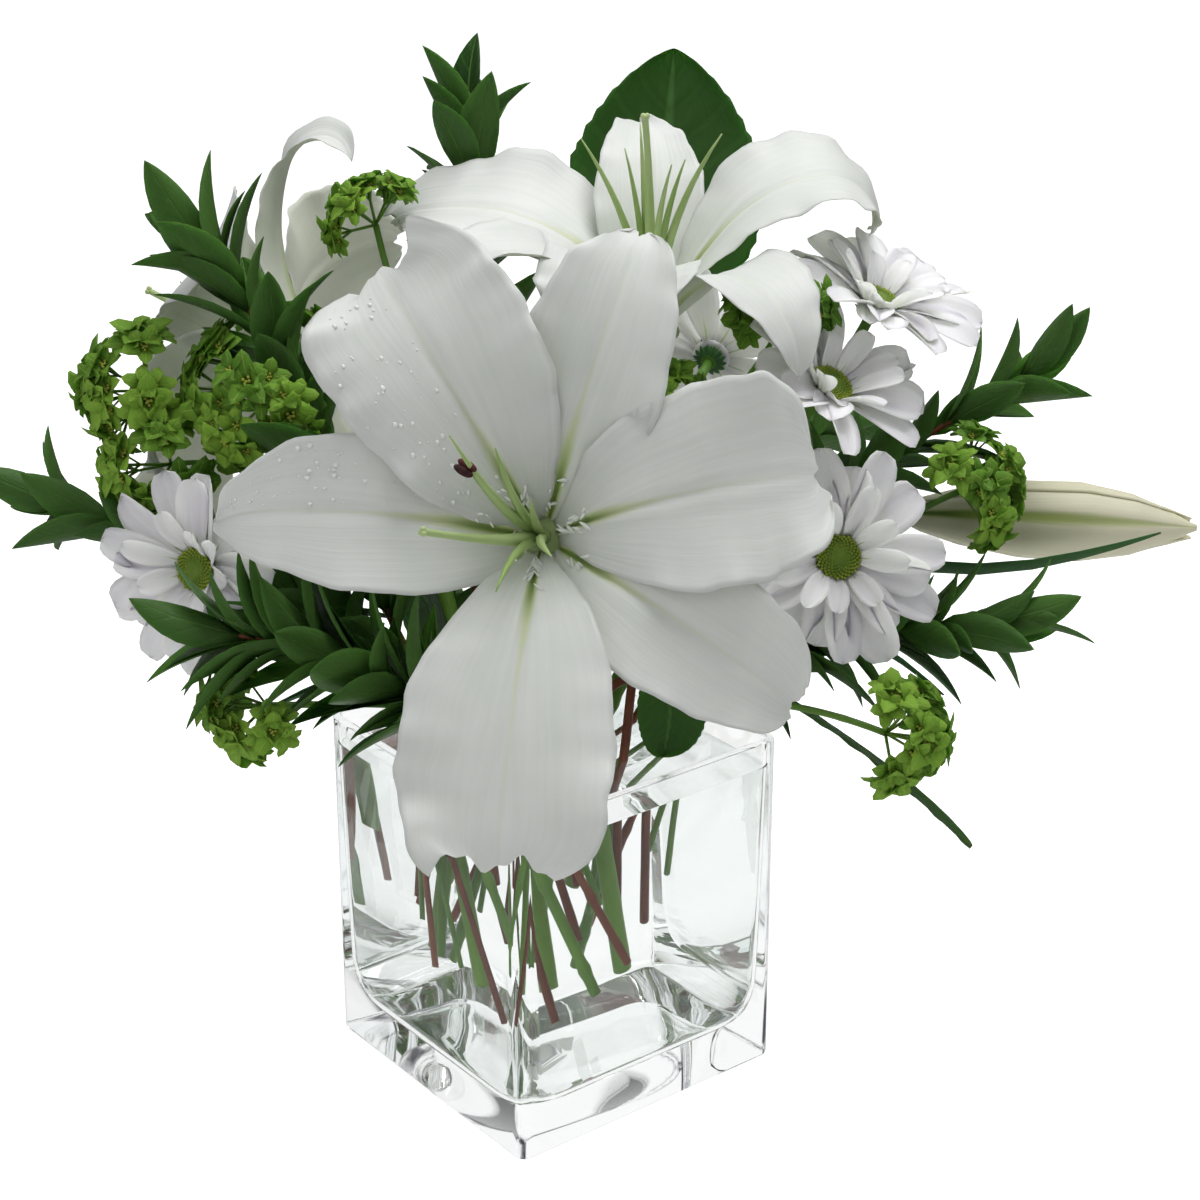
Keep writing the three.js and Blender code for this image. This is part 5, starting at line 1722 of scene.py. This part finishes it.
def make_daisy_stem(name, heads, stem):
    main = DAISIES[heads[0][0]]
    whole = dict(stem, head=behind(main["at"], main["axis"], CALYX_FOOT), arrive=main["axis"])
    pile = Pile()
    path = whole_path(whole)
    lay_rod(pile, STEM_ROD, path, jointed(DAISY_STEM_RADIUS, 7, 0.3, 3), 0.4)
    lay_cut_end(pile, path, DAISY_STEM_RADIUS, 2)
    for index, share in heads:
        daisy = DAISIES[index]
        add_cup(pile, daisy_seat(daisy))
        if share is None:
            continue
        tip = behind(daisy["at"], daisy["axis"], CALYX_FOOT)
        path = branch_path(
            upper_handles(whole), share, tip, daisy["axis"], DAISY_BRANCH_REACH
        )
        lay_rod(pile, STEM_ROD, path, DAISY_BRANCH_RADII, 0.5)
    thing = pile.make(name + "_stalks", [STEM_GREEN, LILY_GREEN, CUT_PALE])
    finish_piece(thing, name)


for name, heads, stem in DAISY_STEMS:
    make_daisy_stem(name, heads, stem)

# %% [markdown]
# ## Leafy sprays
#
# The dark leaves go up their twig by turns, larger below and closest together at the tip. Each
# is folded a little along its rib, so it catches the light on one half. One spray is fresher
# and paler than the others.

# %% A spray's leaf
LEAF_SHAPE = 0.37  # its width for its length
# turns and leans that the solids' leaves were bent by, in this order
LEAF_BENDS = [(0, 0), (35, 0), (-35, 0), (70, 0), (-70, 0), (0, 25), (110, 0), (-110, 0),
              (50, 25), (-50, 25), (180, 0)]


def leaf_relief(x, s):
    return -0.35 * np.exp(-((x / 0.1) ** 2)) * (1 - s * 0.6)


SPRAY_LEAF = dict(neck=0.9, rise=0.75, fall=0.95, bowl=0.34, thick=0.5, relief=leaf_relief)


def spray_leaf_choices(handles, share, turn, length, lean):
    at, way = point_on(handles, share)
    along = unit(way)
    seat = seat_at(at, along, ACROSS if abs(along[2]) > 0.95 else UP)
    width = length * LEAF_SHAPE
    return [
        (seat, dict(SPRAY_LEAF, turn=turn + more, length=length, width=width,
                    angles=(lean + rise - 12, lean + rise, lean + rise + 14)))
        for more, rise in LEAF_BENDS
    ]


def draw_shade(row, number):
    """A leaf's own shade, which doesn't disturb the shared draw."""
    return 0.35 * math.sin(row * 5.1 + number * 2.7)


print("ways tried for a leaf:", len(LEAF_BENDS))


# %% The sprays
def spray(name, leaf, count, slot, cut, head, arrive, **more):
    stem = dict(slot=slot, cut=cut, head=head, arrive=arrive, **more)
    return dict(name=name, leaf=leaf, count=count, stem=stem)


SPRAYS = [
    spray("spray_top", 52, 12, (27, 126), 84, (-32, 340, 0), (-0.1, 1, 0)),
    spray("spray_upper_left", 50, 11, (40, 160), 38, (-118, 284, 74), (-0.7, 0.7, 0)),
    spray("spray_left", 42, 11, (27, 186), 62, (-176, 198, 42), (-1, 0.35, -0.1), leave=50),
    spray("spray_low_left", 46, 11, (40, 214), 54, (-104, 152, 104), (-1, 0.1, 0)),
    spray("spray_right", 44, 9, (27, 32), 80, (172, 246, 34), (0.8, 0.5, 0), fresh=0.35),
    spray("spray_low_right", 42, 10, (40, 0), 40, (160, 156, 54), (1, 0.1, 0)),
    spray("spray_back", 44, 10, (40, 50), 52, (110, 240, -90), (0.5, 0.5, -1)),
    spray("spray_back_left", 44, 10, (40, 112), 46, (-80, 200, -104), (-1, 0.5, -1)),
]
print("leaves in the solids of the sprays:", sum(plant["count"] for plant in SPRAYS))

# %% [markdown]
# The main leaves are laid on their solids. Then small ones are tried between them, three for
# each, from low on the leafy part to its tip, and those that find room stay.

# %% Make the sprays
LEAFY_SHARE = 0.62  # of the way above the mouth
SMALL_LEAVES = 3  # tried for each main leaf
TWIG_RADIUS = 1.5
CUT_RADIUS = 1.7
TWIG_TAPER = 1.15 * np.linspace(1, 0.55, JOINT_ROWS)


def add_small_leaves(pile, plant, index, handles):
    draw = Draw(61 + index)
    count = 0
    for i in range(SMALL_LEAVES * plant["count"]):
        share = 0.3 + 0.69 * ((i + 0.5) / (SMALL_LEAVES * plant["count"])) ** 1.5
        turn = i * GOLDEN_TURN + 60 + draw.spread(40)
        length = plant["leaf"] * (0.85 - 0.15 * share + draw.spread(0.2))
        lean = 60 - 18 * share + draw.spread(18)
        found = free_blade(plant["name"], spray_leaf_choices(handles, share, turn, length, lean))
        if found:
            lay_blade(pile, LEAF_STRIP, *found, 0.45 + draw_shade(index + 3, i), 1)
            count += 1
    return count


def make_spray(plant, index):
    handles = upper_handles(plant["stem"])
    draw = Draw(21 + index)
    pile = Pile()
    path = whole_path(plant["stem"])
    radii = jointed(TWIG_RADIUS, 9, 0.35, index) * TWIG_TAPER
    lay_rod(pile, STEM_ROD, path, radii, 0.2 + 0.09 * index)
    lay_cut_end(pile, path, CUT_RADIUS, 2)
    missing = 0
    fresh = plant["stem"].get("fresh", 0)
    for i in range(plant["count"]):
        rank = i / (plant["count"] - 1)
        share = 0.99 - LEAFY_SHARE * (1 - rank) ** 1.1
        turn = i * GOLDEN_TURN + draw.spread(15)
        length = plant["leaf"] * (1.08 - 0.25 * rank + draw.spread(0.1))
        lean = 52 - 30 * rank + draw.spread(8)
        found = find_bend(plant["name"], spray_leaf_choices(handles, share, turn, length, lean))
        if found:
            lay_blade(pile, LEAF_STRIP, *found, 0.5 + fresh + draw_shade(index, i), 1)
        else:
            missing += 1
    more = add_small_leaves(pile, plant, index, handles)
    print(plant["name"], "leaves not in the solid:", missing, "small ones added:", more)
    thing = pile.make(plant["name"] + "_leaves", [STEM_BROWN, SPRAY_GREEN, CUT_PALE])
    finish_piece(thing, plant["name"])


for index, plant in enumerate(SPRAYS):
    make_spray(plant, index)

# %% [markdown]
# ## Umbels
#
# From the end of each stalk thin rays spread over a dome, and each opens into a star of pointed
# bracts with a few tiny flowers in its middle. The solids hold the main rays. Here each main ray
# also forks into four smaller stars, as on the real plant.

# %% The umbels
def umbel(name, slot, cut, head, arrive, heads):
    return dict(name=name, stem=dict(slot=slot, cut=cut, head=head, arrive=arrive), heads=heads)


UMBELS = [
    umbel("umbel_left", (40, 138), 52, (-98, 236, 62), (-0.3, 1, 0.3), [
        dict(axis=(0, 0.35, 0.8), count=14, size=28),
        dict(share=0.8, to=(-142, 238, 58), axis=(-0.6, 0.3, 0.6), count=7, size=20),
        dict(share=0.7, to=(-134, 212, 60), axis=(-0.5, -0.1, 0.6), count=5, size=18)]),
    umbel("umbel_low_left", (27, 216), 74, (-97, 128, 86), (-1, 0, 0.2), [
        dict(axis=(-0.6, 0, 0.5), count=7, size=18)]),
    umbel("umbel_top", (14, 130), 88, (-64, 300, 34), (-0.2, 1, 0.2), [
        dict(axis=(-0.2, 0.8, 0.5), count=7, size=15)]),
    umbel("umbel_centre", (14, 10), 56, (40, 230, 80), (0.2, 1, 0.4), [
        dict(axis=(0.2, 0.6, 0.8), count=5, size=14),
        dict(share=0.6, to=(82, 264, 56), axis=(0.1, 0.7, 0.4), count=6, size=17)]),
    umbel("umbel_right", (40, -22), 72, (146, 203, 46), (1, 0.4, 0.1), [
        dict(axis=(0.8, 0.3, 0.5), count=8, size=18)]),
    umbel("umbel_low_right", (40, -46), 66, (116, 118, 76), (1, -0.4, 0.1), [
        dict(axis=(0.9, -0.2, 0.4), count=7, size=19)]),
    umbel("umbel_back", (40, 98), 58, (10, 236, -84), (0, 0.9, -0.6), [
        dict(axis=(0, 0.6, -0.8), count=8, size=20)]),
]
print("main rays:", sum(head["count"] for plant in UMBELS for head in plant["heads"]))

# %% [markdown]
# One function makes a star of any size: five bracts and a knot of flowers. With four smaller
# stars for each main one there are hundreds, so a bract has only a few faces.

# %% Stars and forks
STAR_BRACTS = 5
STAR_FLOWERS = 6
STAR_ZERO = np.array((0.31, 0.53, 0.79))
BRACT = dict(root=0.2, rise=0.6, fall=0.75, bowl=0.3, neck=0.5, thick=0.35)
FORKS = 4
FORK_AT = 0.6  # of the main ray
FORK_STAR = 0.74  # of the main star
MAIN_RAY_RADII = (0.6, 0.5)
FORK_RADII = (0.45, 0.35)


def lay_twig(pile, start, way, length, radii):
    path = start + way * np.linspace(0, length, 4)[:, None]
    lay_rod(pile, TWIG_ROD, path, radii, 0.6)
    return path[-1]


def add_star(pile, at, way, reach, shade, turn=0.0):
    """Pointed bracts and a knot of tiny flowers."""
    seat = seat_at(at, way, STAR_ZERO)
    for i in range(STAR_BRACTS):
        length = reach * (1.2 + 0.15 * math.sin(4 * i + shade * 9))
        angles = (50, 68 + 8 * math.sin(2 * i + shade * 5), 84)
        bract = dict(BRACT, turn=turn + i * 360 / STAR_BRACTS, length=length,
                     width=reach * 0.84, angles=angles)
        lay_blade(pile, BRACT_STRIP, seat, bract, shade + 0.06 * (i % 3), 1)
    size = reach * 0.08
    for i in range(STAR_FLOWERS):
        out = outward(seat, i * GOLDEN_TURN) * reach * 0.22 * math.sqrt(i / STAR_FLOWERS)
        place = at + out + way * (reach * 0.22)
        lay_ball(pile, SMALL_BALL, place, (size, size, size * 1.3), seat, 0.6, 2)


def add_umbellet(pile, hub, way, length, reach, shade):
    """A ray that forks below its star into a ring of smaller stars."""
    tip = lay_twig(pile, hub, way, length, MAIN_RAY_RADII)
    add_star(pile, tip, way, reach, shade)
    seat = seat_at(hub, way, UP + 0.1)
    fork = hub + way * length * FORK_AT
    for i in range(FORKS):
        turn = 40 + 360 / FORKS * i + 25 * math.sin(7 * shade + i)
        lean = unit(way + outward(seat, turn) * (0.62 + 0.1 * math.sin(3.1 * i)))
        end = lay_twig(pile, fork, lean, length * (0.46 - 0.05 * (i % 2)), FORK_RADII)
        add_star(pile, end, lean, reach * FORK_STAR, shade - 0.12 + 0.08 * i, 20 * i)


print("stars for each main ray:", 1 + FORKS)

# %% Make the umbels
UMBEL_OPENING = 82  # degrees from the head's axis to its outermost ray
STAR_COVER = 1.5  # its stars' reach for a head's size and count
RAY_LOST = 1.2  # mm: a ray further than this from its solid isn't there
RAY_TRIALS = (0.5, 0.8, 1.0)
HEAD_ZERO = np.array((0.4, 0.7, 0.2))
# turns and leans that the solids' rays were bent by
BLOOM_BENDS = [(0, 0), (18, 0), (-18, 0), (0, -14), (0, 14), (36, 0), (-36, 0), (60, 10),
               (-60, 10), (120, -10)]
STALK_RADIUS = 1.35
BRANCH_RADII = (1.0, 0.9)


def find_ray(node, base, tilt, turn, length):
    """The way of the ray that lies on the node's solid, or None."""
    best, least = None, RAY_LOST
    for more, lean in BLOOM_BENDS:
        angle = math.radians(tilt + lean)
        way = base["along"] * math.cos(angle) + outward(base, turn + more) * math.sin(angle)
        away = distance_to(node, [base["at"] + way * length * share for share in RAY_TRIALS])
        if away < least:
            best, least = way, away
    return best


def make_head(pile, node, hub, head, draw):
    base = seat_at(hub, unit(front(head["axis"])), HEAD_ZERO)
    for i in range(head["count"]):
        tilt = UMBEL_OPENING * math.sqrt((i + 0.3) / head["count"]) + draw.spread(4)
        turn = i * GOLDEN_TURN + draw.spread(12)
        length = head["size"] * (1 + draw.spread(0.12))
        reach = head["size"] * math.sqrt(STAR_COVER / head["count"]) * (1 + draw.spread(0.06))
        way = find_ray(node, base, tilt, turn, length)
        if way is not None:
            add_umbellet(pile, hub, way, length, reach, 0.5 + draw_shade(head["count"], i))


def make_umbel(plant, index):
    node, stem = plant["name"], plant["stem"]
    draw = Draw(31 + index)
    pile = Pile()
    lay_rod(pile, STEM_ROD, whole_path(stem), jointed(STALK_RADIUS, 6, 0.15, index), 0.4)
    for head in plant["heads"]:
        hub = front(head.get("to", stem["head"]))
        if "to" in head:
            path = branch_path(upper_handles(stem), head["share"], head["to"], head["axis"], 14)
            lay_rod(pile, STEM_ROD, path, BRANCH_RADII, 0.5)
        make_head(pile, node, hub, head, draw)
    thing = pile.make(node + "_stars", [STEM_GREEN, UMBEL_LIME, FLORET_YELLOW])
    finish_piece(thing, node)


for index, plant in enumerate(UMBELS):
    make_umbel(plant, index)

# %% [markdown]
# ## Broad leaves
#
# Leathery leaves with a finely toothed edge stand behind and under the flowers. The largest
# shows above the back lily.

# %% A broad leaf's form
TEETH = 14.5
BROAD_STEM_RADII = (1.9, 1.8, 1.7, 1.6)
# turns and shares of the full size that the solids' leaves were made with, in this order
BROAD_BENDS = [(turn, size) for size in (1, 0.8, 0.65)
               for turn in (0, -15, 15, -30, 30, -50, 50, -80, 80)]


def broad_edge(x, s):
    """Small teeth that point to the tip."""
    return 1 + 0.05 * (((s * TEETH) % 1) - 0.5) * np.abs(x) ** 8


def broad_relief(x, s):
    groove = -0.8 * np.exp(-((x / 0.03) ** 2)) * (1 - 0.7 * s)
    quilt = 0.35 * np.sin(2 * np.pi * (8 * s - 1.8 * np.abs(x))) * (1 - np.abs(x))
    return groove + quilt + 1.2 * np.sin(5 * s + 3 * x) * np.abs(x) ** 2


BROAD_LEAF = dict(neck=1.2, rise=0.5, bowl=0.22, thick=0.6, relief=broad_relief, edge=broad_edge)
print("ways tried for a broad leaf:", len(BROAD_BENDS))


# %% The broad leaves
def broad(name, slot, cut, head, arrive, leaves, **more):
    stem = dict(slot=slot, cut=cut, head=head, arrive=arrive, **more)
    return dict(name=name, stem=stem, leaves=leaves)


def wide_leaf(share, way, length, width, angles, fall=0.55):
    return dict(share=share, way=way, length=length, width=width, angles=angles, fall=fall)


BROAD = [
    broad("broad_leaf_top", (40, 72), 70, (40, 284, -74), (0.05, 1, 0.1),
          [wide_leaf(0.99, (0, 0, -1), 104, 80, (4, 6, -6), fall=0.75)], leave=50),
    broad("broad_leaf_low_right", (14, 310), 54, (66, 138, 50), (1, 0, 0.1),
          [wide_leaf(0.99, (0, -1, 0.25), 104, 13, (25, 38, 46)),
           wide_leaf(0.8, (0, 1, -0.4), 56, 40, (60, 60, 40))]),
    broad("broad_leaf_low_left", (14, 190), 78, (-48, 144, 62), (-1, 0.4, 0.1),
          [wide_leaf(0.99, (0, 0, -1), 62, 40, (10, 10, -5)),
           wide_leaf(0.8, (0, 1, -0.3), 58, 40, (50, 60, 40))]),
    broad("broad_leaf_front", (27, 306), 50, (40, 142, 82), (0.4, -0.2, 1),
          [wide_leaf(0.99, (0, -1, 0), 34, 26, (40, 90, 110))]),
    broad("broad_leaf_back", (40, 84), 62, (40, 196, -96), (0.2, 0.6, -1),
          [wide_leaf(0.99, (0, -1, -0.2), 70, 50, (20, 40, 60)),
           wide_leaf(0.8, (1, 0, 0), 64, 46, (60, 70, 60))]),
]


def make_broad(plant, index):
    handles = upper_handles(plant["stem"])
    pile = Pile()
    lay_rod(pile, STEM_ROD, whole_path(plant["stem"]), BROAD_STEM_RADII, 0.3)
    for number, leaf in enumerate(plant["leaves"]):
        at, way = point_on(handles, leaf["share"])
        seat = seat_at(at, unit(way), front(leaf["way"]))
        choices = [
            (seat, dict(BROAD_LEAF, turn=turn, length=leaf["length"] * size, fall=leaf["fall"],
                        width=leaf["width"] * size, angles=leaf["angles"]))
            for turn, size in BROAD_BENDS
        ]
        found = find_bend(plant["name"], choices)
        if found:
            lay_blade(pile, BROAD_STRIP, *found, 0.5 + draw_shade(index, number), 1)
    thing = pile.make(plant["name"] + "_blades", [STEM_BROWN, BROAD_GREEN])
    finish_piece(thing, plant["name"])


for index, plant in enumerate(BROAD):
    make_broad(plant, index)

# %% [markdown]
# ## The floor
#
# A plain pale floor. Seen through the glass or mirrored in it, the floor shows painted reflections
# of a room beyond a table: the far floor is painted darker, and mirrored even the near floor is
# painted grey. That draws the vase's edges.

# %% Make the floor
FLOOR_SIZE = 6
FLOOR_GAP = 0.1 * MM  # so that the glass and the floor don't share one plane
GLOW = 0.15
SEEN_GLOW = 0.55  # more of it for the camera
WHITE = (1, 1, 1, 1)
# painted reflections: the floor's colours as the glass shows it, not its own colour
PAINTED_THROUGH_FAR = (0.34, 0.32, 0.37, 1)
PAINTED_REFLECTION_NEAR = (0.3, 0.3, 0.31, 1)
PAINTED_REFLECTION_FAR = (0.12, 0.12, 0.13, 1)


def make_floor():
    begin()
    bpy.ops.mesh.primitive_plane_add(size=FLOOR_SIZE, location=(0, 0, -FLOOR_GAP))
    floor = bpy.context.object
    floor.name = "floor"
    material, shader = new_material("pale_floor")
    tree = material.node_tree
    path = tree.nodes.new("ShaderNodeLightPath").outputs
    set_shader(
        shader, Base_Color=(0.9, 0.9, 0.9, 1), Roughness=0.6, Emission_Color=(1, 1, 1, 1)
    )
    glow = calculate(tree, "MULTIPLY_ADD", path["Is Camera Ray"], SEEN_GLOW, GLOW)
    tree.links.new(glow, shader.inputs["Emission Strength"])
    away = add_node(
        tree, "ShaderNodeVectorMath", {"operation": "LENGTH"}, i0=object_place(tree)
    )
    far = ease(tree, away.outputs["Value"], 0.2, 0.9)
    # the painted reflections glow in place of the lit floor, for rays through the glass and
    # mirrored rays
    painted_through_glass = blend_colours(tree, far, WHITE, PAINTED_THROUGH_FAR)
    painted_reflection = blend_colours(tree, far, PAINTED_REFLECTION_NEAR, PAINTED_REFLECTION_FAR)
    through = add_node(tree, "ShaderNodeEmission", Color=painted_through_glass, Strength=1.0)
    back = add_node(tree, "ShaderNodeEmission", Color=painted_reflection, Strength=1.0)
    mixed = mix_shaders(tree, path["Is Glossy Ray"], shader.outputs[0], back.outputs[0])
    mixed = mix_shaders(tree, path["Is Transmission Ray"], mixed, through.outputs[0])
    tree.links.new(mixed, tree.nodes["Material Output"].inputs["Surface"])
    floor.data.materials.append(material)
    floor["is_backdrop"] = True


make_floor()
print("the floor is", round(FLOOR_GAP / MM, 1), "mm under the vase")

# %% [markdown]
# ## The light
#
# A big soft light above and a weak one in front at the left, in a soft surround.

# %% Lights
KEY_PLACE = (250, 1300, 250)
KEY_SIZE = 0.8
KEY_POWER = 10.5
FILL_PLACE = (-700, 500, 1000)
FILL_SIZE = 1.0
FILL_POWER = 2.4
AIM = (0, 0, 0.17)


def make_light(name, place, size, power):
    light = bpy.data.lights.new(name, "AREA")
    light.size = size
    light.energy = power
    thing = bpy.data.objects.new(name, light)
    thing.location = front(place) * MM
    aim = Vector(AIM) - thing.location
    thing.rotation_euler = aim.to_track_quat("-Z", "Y").to_euler()
    bpy.context.scene.collection.objects.link(thing)


make_light("key", KEY_PLACE, KEY_SIZE, KEY_POWER)
make_light("fill", FILL_PLACE, FILL_SIZE, FILL_POWER)

# %% [markdown]
# The surround is white to the camera. To all else it is soft, and darker below. Rays that have
# passed the glass find dark bands in its lower part, as in a room with furniture.

# %% The surround
SOFT_LIGHT = 0.47
SOFT_LOW = (0.25, 0.25, 0.26, 1)
BAND_COLOUR = (0.04, 0.035, 0.05, 1)
BAND_COUNT = 4.0
BAND_TURN = 0.5  # radians


def make_world():
    world = bpy.data.worlds.new("studio")
    bpy.context.scene.world = world
    world.use_nodes = True
    tree = world.node_tree
    shown = tree.nodes["Background"]
    shown.inputs["Color"].default_value = WHITE
    shown.inputs["Strength"].default_value = 1.0
    place = tree.nodes.new("ShaderNodeTexCoord").outputs["Generated"]
    axes = add_node(tree, "ShaderNodeSeparateXYZ", i0=place).outputs
    ramp = add_node(tree, "ShaderNodeValToRGB", i0=ease(tree, axes[2], -0.2, 1.0))
    ramp.color_ramp.elements[0].color = SOFT_LOW
    ramp.color_ramp.elements[1].color = WHITE
    soft = add_node(tree, "ShaderNodeBackground", Color=ramp.outputs[0], Strength=SOFT_LIGHT)
    azimuth = calculate(tree, "ARCTAN2", axes[1], axes[0])
    turned = calculate(tree, "MULTIPLY_ADD", azimuth, BAND_COUNT, BAND_TURN)
    wave = calculate(tree, "SINE", turned)
    low = fade(tree, axes[2], 0.4, 0.7)
    dark = calculate(tree, "MULTIPLY", ease(tree, wave, 0.3, 0.7), low)
    bands = blend_colours(tree, dark, WHITE, BAND_COLOUR)
    path = tree.nodes.new("ShaderNodeLightPath").outputs
    banded = add_node(tree, "ShaderNodeBackground", Color=bands, Strength=1.0)
    lit = mix_shaders(tree, path["Is Transmission Ray"], soft.outputs[0], banded.outputs[0])
    mixed = mix_shaders(tree, path["Is Camera Ray"], lit, shown.outputs[0])
    tree.links.new(mixed, tree.nodes["World Output"].inputs[0])


make_world()
print("nodes of the surround:", len(bpy.context.scene.world.node_tree.nodes))

# %% [markdown]
# ## The camera
#
# It looks along the bouquet's front direction with a long lens, as the photograph does. Light
# passes many clear walls in the vase, so a ray may turn often.

# %% Camera and light paths
CAMERA_PLACE = (17.2, 164.1, 990.3)
LENS = 79.2
SENSOR = 36
BOUNCES = 40
MIRROR_BOUNCES = 24


def make_camera():
    data = bpy.data.cameras.new("camera")
    data.lens = LENS
    data.sensor_width = SENSOR
    camera = bpy.data.objects.new("camera", data)
    axes = Matrix((ACROSS, UPWARD, TOWARD)).transposed().to_4x4()
    axes.translation = front(CAMERA_PLACE) * MM
    camera.matrix_world = axes
    bpy.context.scene.collection.objects.link(camera)
    bpy.context.scene.camera = camera


make_camera()
bpy.context.scene.view_settings.view_transform = "Standard"
bpy.context.scene.cycles.max_bounces = BOUNCES
bpy.context.scene.cycles.transmission_bounces = BOUNCES
bpy.context.scene.cycles.glossy_bounces = MIRROR_BOUNCES
print("camera:", [round(value, 3) for value in bpy.context.scene.camera.location])

# %% [markdown]
# ## Last look
#
# The dressed part is meant to stay in the solids' box, so both boxes are printed.

# %% Print both boxes and finish
visual_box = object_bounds()
sizes = {
    "cad": [list(corner) for corner in cad_box],
    "visual": [list(corner) for corner in visual_box],
}
for label, box in sizes.items():
    print(label, [[round(value / MM, 1) for value in corner] for corner in box])
